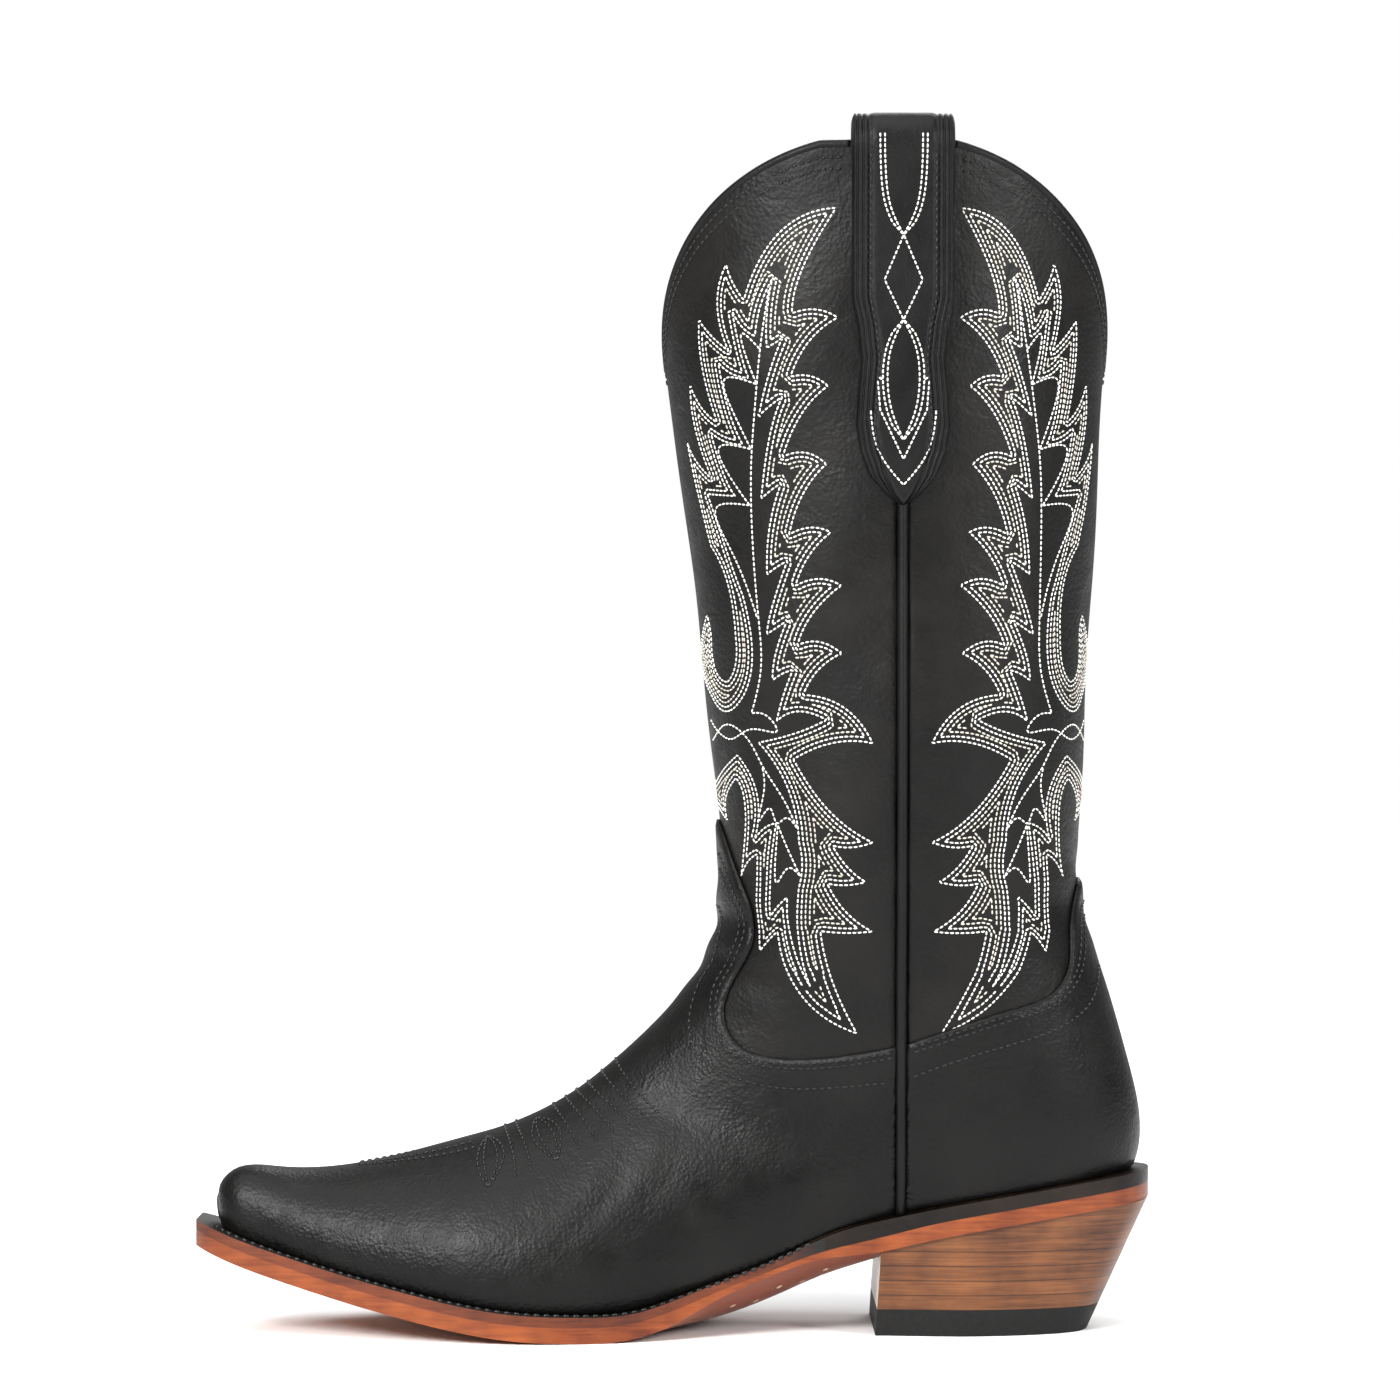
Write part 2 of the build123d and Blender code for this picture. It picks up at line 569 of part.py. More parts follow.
# ---- bottom ----
def make_bottom(tubes, parts):
    """Insole, sock, filler, shank, welt, rand, outsole, pegs and the heel."""
    feather = feather_loop()
    sole_loop = offset_loop(feather, margin_at(feather[:, 0]))
    outline = column(sole_loop)
    tip_x = sole_loop[:, 0].min() + snip_cut
    outline = outline & box_between(tip_x, big)
    seat = below_line(seat_line)
    under_top, under_sole = under_surface(sole_loop, 0), under_surface(sole_loop, 1)

    ring_inner = column(offset_loop(sole_loop, -welt_ring * np.ones(len(sole_loop))))
    ring = ((outline & seat) - under_top) - ring_inner
    joint = warp(heel_breast - 18, 0)[0]
    parts["welt"] = ring & box_between(-big, joint)
    parts["heel_rand"] = ring & box_between(joint + 0.02, big)

    above = below_line(seat_line, -insole_thick)
    sock_top = below_line(seat_line, -(insole_thick + sock_thick))
    parts["insole_board"] = tubes["inner_gap"] & (above - seat)
    parts["sock_liner"] = tubes["sock"] & (sock_top - above)

    filler_zone = column(offset_loop(sole_loop, -(welt_ring + gap) * np.ones(len(sole_loop))))
    filler = (filler_zone & seat) - under_top
    shank = make_shank()
    parts["cork_filler"] = filler - shank
    parts["steel_shank"] = shank

    outsole = (outline & under_top) - under_sole
    pegs, holes = make_pegs(sole_loop)
    parts["outsole"] = outsole - Compound(children=holes)
    parts["shank_pegs"] = Compound(children=[s for peg in pegs for s in (peg & outsole).solids()])
    make_heel(sole_loop, under_sole, parts)
    return feather, sole_loop


def make_shank():
    """Ribbed spring steel strip that carries the arch, set in the filler."""
    start, end = warp(-14, 0)[0], warp(84, 0)[0]
    stations = np.linspace(start, end, 7)
    low = [Vector(x, 0, seat_height(x) - 1.9) for x in stations]
    high = [Vector(x, 0, seat_height(x) - 0.7) for x in stations[::-1]]
    edges = [
        Edge.make_spline(low),
        Edge.make_line(low[-1], high[0]),
        Edge.make_spline(high),
        Edge.make_line(high[-1], low[0]),
    ]
    return extrude(Face(Wire(edges)), amount=7.5, dir=(0, 1, 0), both=True)


def make_pegs(sole_loop):
    """Two zigzag rows of wooden pegs through each side of the shank, and the holes for them."""
    peg_radius = 0.9
    spots = []
    for side in (-1, 1):
        for i in range(6):
            x = warp(3 + i * 7.1, 0)[0]
            spots.append(Pos(x, side_at(sole_loop, x, side) * (0.65 if i % 2 else 0.47), 30))
    pegs = [spot * Cylinder(peg_radius, 60) for spot in spots]
    holes = [spot * Cylinder(peg_radius + 0.01, 60) for spot in spots]
    return pegs, holes


def heel_outline(sole_loop, inset_back, inset_side, breast, z):
    """D-shaped plan of the heel at one height: straight breast, sides and back following the sole."""
    top_breast = warp(heel_breast, 0)[0]
    back = sole_loop[:, 0].max() - 0.8
    shares = [0, 0.2, 0.4, 0.6, 0.76, 0.88, 0.96]
    rows = []
    for side in (1, -1):
        points = []
        for share in shares:
            y = side_at(sole_loop, top_breast + share * (back - top_breast), side)
            narrow = (abs(y) - inset_side) / abs(y) if abs(y) > 12 else 1 - inset_side / 16
            points.append((breast + share * (back - inset_back - breast), y * narrow))
        rows.append(points)
    points = [*rows[0], (back - inset_back, 0), *rows[1][::-1]]
    curve = Edge.make_spline([Vector(x, y, z) for x, y in points], parameters=_even(len(points)))
    return Wire([curve, Edge.make_line(Vector(*points[-1], z), Vector(*points[0], z))])


def _even(count):
    return [i / (count - 1) for i in range(count)]


def make_heel(sole_loop, under_sole, parts):
    """Stacked leather lifts, the upper ones wedges under the sloping seat, on a rubber top lift."""
    breast = warp(heel_breast, 0)[0]
    peak = heel_height + 12
    foot = heel_outline(sole_loop, heel_undercut, 0.6 + heel_taper, breast - breast_rake, 0)
    share = peak / heel_height
    head = heel_outline(
        sole_loop, heel_undercut * (1 - share), 0.6 + heel_taper * (1 - share),
        breast - breast_rake * (1 - share), peak,
    )  # fmt: skip
    block = Solid.make_loft([foot, head], ruled=True)
    nails = Compound(children=[
        Pos(breast + 16 + 18 * i, y, 0) * Cylinder(1.1, 200) for i in range(3) for y in (-14, 14)
    ])  # fmt: skip
    block_top = block & under_sole
    drilled = block_top - nails
    lowest = top_lift_thick
    parts["rubber_top_lift"] = block_top & box_between(-big, big, z0=-1, z1=lowest)
    levels = [lowest + lift_thick * i for i in range(flat_lifts + 1)]
    for i in range(flat_lifts):
        layer = drilled & box_between(-big, big, z0=levels[i], z1=levels[i + 1])
        parts[f"heel_lift_{i + 1}"] = layer
    base = levels[-1]
    start, end = breast - 8, sole_loop[:, 0].max() + 2
    front_rise = max(0.4, seat_height(start) - welt_thick - outsole_thick - base)
    back_rise = seat_height(end) - welt_thick - outsole_thick - base
    for i in range(wedge_lifts):
        low, high = i / wedge_lifts, (i + 1) / wedge_lifts
        if i == wedge_lifts - 1:
            high = 1.6
        wedge = prism_y([
            (start, base + front_rise * low), (end, base + back_rise * low),
            (end, base + back_rise * high + 4 * (high > 1)), (start, base + front_rise * high + 4 * (high > 1)),
        ])  # fmt: skip
        layer = drilled & wedge
        parts[f"heel_lift_{flat_lifts + i + 1}"] = layer
    nail_zone = box_between(-big, big, z0=lowest, z1=200) & block_top
    parts["heel_nails"] = nails & nail_zone


def tidy(parts):
    """One compound of clean solids per node."""
    clean = {}
    for name, shape in parts.items():
        found = solids_of(shape, 0.5)
        if name not in ("shank_pegs", "heel_nails"):
            biggest = max(s.volume for s in found)
            found = [s for s in found if s.volume > 0.02 * biggest]
        clean[name] = found
    return clean


def main():
    levels = {
        "piping": overlay + piping_proud,
        "outer": overlay,
        "face_gap": gap,
        "face": 0.0,
        "middle": -leather,
        "inner": -(leather + lining),
        "inner_gap": -(leather + lining + gap),
        "sock": -(leather + lining + 3 * gap),
    }
    tubes = {name: tube(distance) for name, distance in levels.items()}
    tubes["deep"] = tube(-(leather + lining + overlay), last_knot=7)
    above_seat = box_between(-big, big, z0=-80, z1=big * 1.2) - below_line(seat_line)
    parts = {}
    make_upper(tubes, above_seat, parts)
    make_piping(tubes, above_seat, parts)
    make_binding(tubes, parts)
    make_straps(parts)
    make_bottom(tubes, parts)
    clean = tidy(parts)
    boxes = [s.bounding_box() for found in clean.values() for s in found]
    low = [min(getattr(b.min, a) for b in boxes) for a in "XYZ"]
    high = [max(getattr(b.max, a) for b in boxes) for a in "XYZ"]
    centre = Pos(-(low[0] + high[0]) / 2, -(low[1] + high[1]) / 2, -low[2])
    os.makedirs("parts", exist_ok=True)
    for name, found in clean.items():
        moved = [centre * s for s in found]
        export_step(moved[0] if len(moved) == 1 else Compound(children=moved), f"parts/{name}.step")
    print("low", [round(v, 2) for v in low], "high", [round(v, 2) for v in high])


main()
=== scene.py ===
import math

import bpy
import numpy as np
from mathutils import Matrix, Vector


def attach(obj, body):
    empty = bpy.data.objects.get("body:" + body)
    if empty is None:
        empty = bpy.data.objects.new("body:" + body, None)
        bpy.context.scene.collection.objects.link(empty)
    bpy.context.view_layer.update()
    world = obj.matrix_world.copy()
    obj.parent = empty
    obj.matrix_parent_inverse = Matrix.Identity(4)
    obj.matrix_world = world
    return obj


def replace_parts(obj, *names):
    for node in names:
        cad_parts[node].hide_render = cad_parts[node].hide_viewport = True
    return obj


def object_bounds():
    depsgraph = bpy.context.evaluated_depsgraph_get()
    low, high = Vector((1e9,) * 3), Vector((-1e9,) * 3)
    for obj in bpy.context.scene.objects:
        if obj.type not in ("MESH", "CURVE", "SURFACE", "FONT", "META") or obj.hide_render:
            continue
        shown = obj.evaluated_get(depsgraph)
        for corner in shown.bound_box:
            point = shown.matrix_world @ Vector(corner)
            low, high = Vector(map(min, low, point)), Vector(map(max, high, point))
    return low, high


# Western riding boot: a smooth tube of closed girths carries every leather layer and every row of thread.
# Shapes are worked out in the pattern's own millimetres (x back, y out, z up) and become metres in the frame
# when they are put into a mesh.
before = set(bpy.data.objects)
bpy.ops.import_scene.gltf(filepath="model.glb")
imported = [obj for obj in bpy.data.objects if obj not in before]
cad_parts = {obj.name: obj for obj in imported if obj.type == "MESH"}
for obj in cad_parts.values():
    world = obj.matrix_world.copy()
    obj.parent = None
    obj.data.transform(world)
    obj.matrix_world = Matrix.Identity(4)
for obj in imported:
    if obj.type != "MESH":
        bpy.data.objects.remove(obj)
cadBox = [[float(v) for v in corner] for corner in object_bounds()]

boot = {
    "peak": 364.5,  # height of the shaft's top edge at the side seams
    "dip": 69.5,  # depth of the scallops at front and back
    "crest": 2.4,  # the top edge runs level this far below the peak
    "scallop": 0.77,  # power of the curve from the dip up to the peak
    "topHalf": 46.2,  # half width of the shaft at its top
    "seamX": 61.0,
    "seamGap": 1.35,  # from the seam's middle to the edge of each panel
    "leather": 1.4,
    "overlay": 1.6,  # vamp and foxing lie on top of the shaft
}
patternMiddle = -7.985  # x of the middle of the boot's box in the pattern's millimetres
shiftX = (cadBox[0][0] + cadBox[1][0]) * 500 - patternMiddle

# Each girth: front point x, z; back point x, z; half width; sideways shift; lean of its foot to the outer
# side; fullness towards the back; roundness of its front and back ends.
girths = np.array([
    (-13.5, 380, 127.0, 380, 46.3, 0.0, 0.0, 0.00, 1.00, 1.00),
    (-13.0, 345, 126.4, 345, 46.2, 0.0, 0.0, 0.00, 1.00, 1.00),
    (-12.0, 308, 125.6, 308, 46.0, 0.0, 0.0, 0.00, 1.00, 1.00),
    (-8.3, 282, 124.0, 282, 45.6, 0.0, 0.0, 0.00, 1.00, 1.00),
    (-3.6, 245, 121.8, 245, 45.0, 0.0, 0.0, 0.00, 1.00, 1.00),
    (0.4, 209, 120.4, 209, 44.2, 0.0, 0.0, 0.00, 1.00, 1.00),
    (4.4, 172, 118.6, 172, 42.8, 0.0, 0.0, 0.00, 1.00, 1.00),
    (6.6, 144, 116.8, 143, 40.6, 0.0, 0.0, 0.02, 0.98, 0.97),
    (6.2, 124, 118.1, 126, 38.6, 0.0, 0.0, 0.06, 0.96, 0.94),
    (1.6, 111.6, 123.9, 107, 36.6, 0.0, 0.0, 0.10, 0.94, 0.90),
    (-6.4, 100.4, 131.1, 82, 35.0, 0.0, 0.0, 0.16, 0.92, 0.86),
    (-16.0, 90.1, 134.5, 58, 33.4, 0.0, 0.2, 0.22, 0.92, 0.84),
    (-27.6, 79.6, 124.6, 40, 32.0, 0.0, 1.0, 0.28, 0.92, 0.84),
    (-40.3, 70.3, 84.0, 33.5, 32.8, 0.0, 3.4, 0.34, 0.94, 0.84),
    (-54.4, 62.9, 38.0, 22.0, 35.6, 0.0, 3.2, 0.46, 0.96, 0.86),
    (-67.5, 58.5, -4.0, 5.0, 38.8, 0.0, 1.0, 0.60, 1.00, 0.86),
    (-82.6, 54.4, -46.0, -6.0, 39.6, 0.0, 0.0, 0.62, 1.00, 0.84),
    (-99.2, 50.3, -78.0, -2.0, 33.0, -0.5, 0.0, 0.56, 0.96, 0.84),
    (-116.8, 47.8, -104.0, 6.0, 24.4, -1.5, 0.0, 0.46, 0.86, 0.84),
    (-130.6, 48.0, -123.0, 15.0, 17.6, -2.5, 0.0, 0.36, 0.74, 0.80),
    (-139.4, 48.5, -137.8, 21.5, 13.2, -3.0, 0.0, 0.22, 0.66, 0.70),
    (-144.3, 46.9, -143.4, 26.0, 10.4, -3.2, 0.0, 0.08, 0.66, 0.66),
    (-146.6, 44.4, -145.3, 29.0, 7.8, -3.2, 0.0, 0.00, 0.70, 0.70),
    (-147.2, 41.6, -146.4, 33.4, 5.0, -3.2, 0.0, 0.00, 0.80, 0.80),
])  # fmt: skip

seatLine = [
    (-165, 39.0), (-146, 31.0), (-118, 21.9), (-93, 15.6), (-74, 11.5), (-56, 8.9), (-40, 8.1),
    (-29, 8.0), (-19, 9.0), (-6, 13.0), (8, 18.0), (22, 23.2), (30, 26.8), (38, 30.4), (46, 33.2), (56, 35.6),
    (70, 38.6), (100, 44.0), (130, 48.6), (150, 51.4),
]  # fmt: skip
vampEdge = [
    (61, 89.2), (42, 85.8), (24, 85.0), (12.5, 88.2), (7.0, 97.0), (10.0, 109.0), (15.6, 121.0),
    (15.4, 128.0), (10.6, 141.0), (5.2, 155.3), (0.0, 167.0),
]  # fmt: skip
vampLap = [
    (61, 78.6), (44, 76.8), (26, 76.0), (10.0, 79.2), (-0.6, 86.0), (-2.4, 95.0), (2.0, 108.0),
    (7.6, 121.0), (6.6, 133.0), (2.0, 150.0),
]  # fmt: skip
foxingEdge = [
    (61, 89.2), (76, 94.2), (96, 100.4), (108.5, 105.6), (113.6, 114.0), (114.2, 124.0), (117.4, 137.2),
    (121.0, 148.0),
]  # fmt: skip
foxingLap = [
    (61, 78.6), (80, 85.6), (97, 90.4), (110, 95.0), (118, 101.0), (121.6, 111.0), (121.2, 122.0),
    (118.8, 131.0), (119.6, 144.0),
]  # fmt: skip


# Unit vectors, the unit tangents of a line of points, and the left side of flat tangents.
def unit(vectors):
    return vectors / np.maximum(np.linalg.norm(vectors, axis=-1, keepdims=True), 1e-9)


def heading(line):
    return unit(np.gradient(line, axis=0))


def leftOf(tangent):
    return np.stack([-tangent[:, 1], tangent[:, 0]], axis=1)


def lengthAlong(line):
    return np.concatenate([[0], np.cumsum(np.linalg.norm(np.diff(line, axis=0), axis=1))])


# First and past-the-last number of each run of true values.
def runsOf(flags):
    return np.where(np.diff(np.concatenate([[0], flags.astype(int), [0]])))[0].reshape(-1, 2)


# Natural cubic spline: each span is a cubic, and second derivatives agree where spans meet.
def splineThrough(knots, values):
    t, y = np.asarray(knots, float), np.asarray(values, float)
    h = np.diff(t)
    count = len(t)
    inner = np.arange(1, count - 1)
    system = np.eye(count)
    system[inner, inner - 1], system[inner, inner + 1] = h[:-1], h[1:]
    system[inner, inner] = 2 * (h[:-1] + h[1:])
    right = np.zeros_like(y)
    right[1:-1] = 6 * np.diff(np.diff(y, axis=0) / h.reshape(-1, *[1] * (y.ndim - 1)), axis=0)
    bend = np.linalg.solve(system, right)

    def at(u):
        u = np.clip(np.asarray(u, float), t[0], t[-1])
        i = np.clip(np.searchsorted(t, u) - 1, 0, count - 2)
        shape = u.shape + (1,) * (y.ndim - 1)
        span = h[i].reshape(shape)
        a = ((t[i + 1] - u) / h[i]).reshape(shape)
        b = 1 - a
        return a * y[i] + b * y[i + 1] + ((a**3 - a) * bend[i] + (b**3 - b) * bend[i + 1]) * span**2 / 6

    return at


# Knots lie as far apart as the front and back points move, and at least 4.
girthSteps = np.linalg.norm(np.diff(girths[:, :4], axis=0), axis=1)
girthKnots = np.concatenate([[0], np.cumsum(np.maximum(girthSteps, 4))])
lastKnot = girthKnots[-1]
girthAt = splineThrough(girthKnots, girths)
seatHeight = splineThrough([p[0] for p in seatLine], [p[1] for p in seatLine])


# Points of a smooth curve through given (x, z) points, spaced evenly along the chord lengths.
def smoothLine(points, count):
    points = np.asarray(points, float)
    t = lengthAlong(points)
    return splineThrough(t, points)(np.linspace(0, t[-1], count))


# A girth runs from its front point (angle 0) round the outer side (half pi) to its back point (pi):
# along = share + fullness * share * (1 - share), across = half width * sine to the power of roundness.
def girthPoint(u, phi):
    row = np.moveaxis(girthAt(u), -1, 0)
    xf, zf, xb, zb, half, shift, lean, full, roundF, roundB = row
    s = np.sin(phi)
    share = (1 - np.cos(phi)) / 2
    t = share + full * share * (1 - share)
    across = half * np.sign(s) * np.maximum(np.abs(s), 1e-9) ** (roundF + (roundB - roundF) * share)
    return np.stack([xf + (xb - xf) * t, across + shift + lean * t, zf + (zb - zf) * t], axis=-1)


creases = {"shaft": 0.85, "ankle": 0.6, "instep": 0.22}


# Soft folds of worn leather: slow waves on the shaft, tighter ones round the ankle and over the instep.
def foldHeight(p):
    x, y, z = p[..., 0], p[..., 1], p[..., 2]
    slow = np.sin(z / 19 + y / 13 + 1.3 * np.sin(x / 17)) * np.sin(z / 37 - x / 23 + 0.7)
    shaft = creases["shaft"] * slow / (1 + np.exp((150 - z) / 12)) / (1 + np.exp((z - 350) / 8))
    frontAnkle = np.exp(-(((z - 122) / 17) ** 2)) * np.exp(-(((x - 4) / 20) ** 2))
    backAnkle = np.exp(-(((z - 132) / 16) ** 2)) * np.exp(-(((x - 116) / 16) ** 2))
    ripple = np.sin(z / 2.6 + x / 9 + 1.5 * np.sin(y / 11))
    ankle = creases["ankle"] * ripple * (frontAnkle + 0.6 * backAnkle)
    instep = np.exp(-(((x + 30) / 26) ** 2)) * np.exp(-(((z - 62) / 30) ** 2))
    fine = np.sin((x * 0.8 - z * 0.6) / 1.9 + 1.2 * np.sin(z / 9)) * (0.6 + 0.4 * np.sin(y / 7))
    return shaft + ankle + creases["instep"] * instep * fine


# Point of the boot at girth u and angle phi, moved out by a distance along the cross product of the
# tangent round the girth and the tangent down the boot; also returns that normal.
def skin(u, phi, distance):
    low, high = np.maximum(u - 0.4, 0), np.minimum(u + 0.4, lastKnot)
    down = girthPoint(high, phi) - girthPoint(low, phi)
    around = girthPoint(u, phi + 0.01) - girthPoint(u, phi - 0.01)
    normal = unit(np.cross(around, down))
    here = girthPoint(u, phi)
    return here + normal * (distance + foldHeight(here))[..., None], normal


frameKnots = np.linspace(0, lastKnot, 900)
frameTable = girthAt(frameKnots)


# Girth and angle of side-view points (x, z): the girth whose front-to-back line passes through the point,
# then the angle whose share of that line it is.
def locate(x, z, side):
    fx, fz, bx, bz, full = frameTable[:, [0, 1, 2, 3, 7]].T
    lx, lz = bx - fx, bz - fz
    turn = (x[:, None] - fx) * lz - (z[:, None] - fz) * lx
    change = (turn[:, :-1] > 0) != (turn[:, 1:] > 0)
    i = np.argmax(change, axis=1)
    rows = np.arange(len(x))
    part = turn[rows, i] / (turn[rows, i] - turn[rows, i + 1])
    u = frameKnots[i] + part * (frameKnots[i + 1] - frameKnots[i])
    mix = lambda values: values[i] + part * (values[i + 1] - values[i])
    ax, az, dx, dz, k = mix(fx), mix(fz), mix(lx), mix(lz), np.maximum(mix(full), 1e-6)
    t = np.clip(((x - ax) * dx + (z - az) * dz) / (dx * dx + dz * dz), 0, 1)
    share = ((1 + k) - np.sqrt((1 + k) ** 2 - 4 * k * t)) / (2 * k)
    return u, side * np.arccos(np.clip(1 - 2 * share, -1, 1))


# Height of the scalloped top edge at a distance |y| from the middle: it climbs from peak - dip as
# dip * (|y| / half) ^ scallop, and ends level just under the peak.
def topEdge(y):
    rise = boot["peak"] - boot["dip"] + boot["dip"] * (np.abs(y) / boot["topHalf"]) ** boot["scallop"]
    return np.minimum(rise, boot["peak"] - boot["crest"])


# Signed distance to a pattern line in the side view, positive on its left going from first to last point.
def lineDistance(p, line):
    a, b = line[:-1], line[1:]
    step = b - a
    q = np.stack([p[..., 0].ravel(), p[..., 2].ravel()], axis=1)
    best, sign = np.full(len(q), 1e9), np.ones(len(q))
    for start, along in zip(a, step):
        w = q - start
        t = np.clip(w @ along / (along @ along), 0, 1)
        gap = np.linalg.norm(w - t[:, None] * along, axis=1)
        closer = gap < best - 1e-9
        turn = along[0] * w[:, 1] - along[1] * w[:, 0]
        best = np.where(closer, gap, best)
        sign = np.where(closer, np.sign(turn + 1e-12), sign)
    return (best * sign).reshape(p.shape[:-1])


vampLine, foxingLine = smoothLine(vampEdge, 90), smoothLine(foxingEdge, 70)
vampLapLine, foxingLapLine = smoothLine(vampLap, 60), smoothLine(foxingLap, 60)


def aboveSeat(p):
    return p[..., 2] - seatHeight(p[..., 0])


def underTop(p):
    y = np.abs(p[..., 1])
    climb = boot["dip"] * boot["scallop"] / boot["topHalf"]
    slope = np.clip(climb * (np.maximum(y, 0.5) / boot["topHalf"]) ** (boot["scallop"] - 1), 0, 3)
    slope = np.where(topEdge(y) < boot["peak"] - boot["crest"], slope, 0)
    return (topEdge(y) - p[..., 2]) / np.sqrt(1 + slope**2)


def frontOfSeam(p):
    return boot["seamX"] - boot["seamGap"] - p[..., 0]


def behindSeam(p):
    return p[..., 0] - boot["seamX"] - boot["seamGap"]


def vampZone(p):
    return np.minimum(np.minimum(lineDistance(p, vampLine), frontOfSeam(p)), aboveSeat(p))


def foxingZone(p):
    return np.minimum(np.minimum(-lineDistance(p, foxingLine), behindSeam(p)), aboveSeat(p))


def frontZone(p):
    return np.minimum(np.minimum(underTop(p), frontOfSeam(p)), -lineDistance(p, vampLapLine))


def backZone(p):
    return np.minimum(np.minimum(underTop(p), behindSeam(p)), lineDistance(p, foxingLapLine))


# Puts points and groups of faces into a mesh object at the origin, in metres in the frame.
def meshPiece(name, points, faces, material, body="root"):
    points = np.asarray(points, float).reshape(-1, 3).copy()
    points[:, 0] += shiftX
    mesh = bpy.data.meshes.new(name)
    mesh.from_pydata((points / 1000).tolist(), [], sum((group.tolist() for group in faces), []))
    mesh.validate()
    mesh.polygons.foreach_set("use_smooth", np.ones(len(mesh.polygons), bool))
    mesh.update()
    piece = bpy.data.objects.new(name, mesh)
    bpy.context.scene.collection.objects.link(piece)
    mesh.materials.append(material)
    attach(piece, body)
    return piece


# Four-sided faces between neighbouring rings of numbered points, each ring closed on itself.
def ringFaces(index):
    after = np.roll(index, -1, axis=1)
    return np.stack([index[:-1], after[:-1], after[1:], index[1:]], axis=-1).reshape(-1, 4)


shell = {
    "columns": 270, "panelRows": 215, "vampRows": 215, "foxingRows": 130,
    "edgeRadius": 0.9, "edgeDrop": 0.7,  # how a cut edge is rounded
    "slides": 6, "mostU": 1.6, "mostPhi": 0.04,  # how often and how far a corner slides
    "reach": 42.0,  # millimetres for each radian
    "domeRings": 6, "domeDeep": 0.9,
}  # fmt: skip


# A shell between two offsets of the boot, cut to a zone: cells of the (girth, angle) grid with a corner
# inside are kept, corners outside slide onto the zone's edge by Newton steps, and the outer face drops
# at the edge by drop * (1 - distance / radius) ^ 2, so that a cut edge looks rounded.
def trimmedShell(name, uRange, rows, zone, outer, inner, material, slotName):
    columns, reach = shell["columns"], shell["reach"]
    angles = np.linspace(-math.pi, math.pi, columns, endpoint=False)
    u, phi = np.meshgrid(np.linspace(*uRange, rows), angles, indexing="ij")
    flat = zone(skin(u, phi, outer)[0]).ravel()
    index = np.arange(rows * columns).reshape(rows, columns)
    quads = ringFaces(index)
    quads = quads[(flat[quads] > 0).any(axis=1)]
    u, phi = u.ravel(), phi.ravel()
    used = np.zeros(len(u), bool)
    used[quads.ravel()] = True
    move = np.where(used & (flat < 0))[0]
    for _ in range(shell["slides"]):
        mu, mp = u[move], phi[move]
        here = zone(skin(mu, mp, outer)[0])
        stepU = (zone(skin(mu + 0.05, mp, outer)[0]) - here) / 0.05
        stepP = (zone(skin(mu, mp + 0.002, outer)[0]) - here) / 0.002
        scale = -here / (stepU**2 + (stepP / reach) ** 2 + 1e-6)
        u[move] = np.clip(mu + np.clip(scale * stepU, -shell["mostU"], shell["mostU"]), 0, lastKnot)
        phi[move] = mp + np.clip(scale * stepP / reach**2, -shell["mostPhi"], shell["mostPhi"])
    near = np.clip(zone(skin(u, phi, outer)[0]) / shell["edgeRadius"], 0, 1)
    top = skin(u, phi, outer - shell["edgeDrop"] * (1 - near) ** 2)[0]
    base = skin(u, phi, inner)[0]
    if uRange[1] >= lastKnot:  # a dome closes the toe past the last girth
        turns = np.linspace(0, math.pi / 2, shell["domeRings"] + 1)[1:]
        ring, first = index[-1], len(top)
        domed = []
        for layer in (top, base):
            middle = layer[ring].mean(axis=0)
            rings = middle + (layer[ring] - middle) * np.maximum(np.cos(turns), 1e-3)[:, None, None]
            rings[..., 0] -= (shell["domeDeep"] * np.sin(turns))[:, None]
            domed.append(np.concatenate([layer, rings.reshape(-1, 3)]))
        top, base = domed
        more = first + np.arange(shell["domeRings"] * columns).reshape(-1, columns)
        quads = np.concatenate([quads, ringFaces(np.concatenate([ring[None], more]))])
    edges = np.concatenate([quads[:, [k, (k + 1) % 4]] for k in range(4)])
    size = len(top)
    forward, reverse = edges[:, 0] * size + edges[:, 1], edges[:, 1] * size + edges[:, 0]
    rim = edges[~np.isin(forward, reverse)]
    rimQuads = np.stack([rim[:, 1], rim[:, 0], rim[:, 0] + size, rim[:, 1] + size], axis=1)
    faces = np.concatenate([quads, quads[:, ::-1] + size, rimQuads])
    keep = np.unique(faces)
    renumber = np.zeros(2 * size, int)
    renumber[keep] = np.arange(len(keep))
    return meshPiece(name, np.concatenate([top, base])[keep], [renumber[faces]], material)


thread = {"pitch": 1.62, "long": 1.32, "wide": 0.58, "high": 0.34}
barrel = {"sides": 5, "rings": (-0.34, 0.0, 0.34), "fat": (0.78, 1.0, 0.78), "tipSink": 0.05}


# Even stations along a 3-D line: positions, tangents and the surface normals there.
def stations(line, normals, pitch):
    length = lengthAlong(line)
    if length[-1] < pitch:
        return None
    count = max(1, int(round(length[-1] / pitch)))
    at = (np.arange(count) + 0.5) * length[-1] / count
    pick = lambda values, where: np.stack([np.interp(where, length, values[:, k]) for k in range(3)], axis=1)
    tangent = unit(pick(line, np.minimum(at + 0.4, length[-1])) - pick(line, np.maximum(at - 0.4, 0)))
    return pick(line, at), tangent, pick(normals, at)


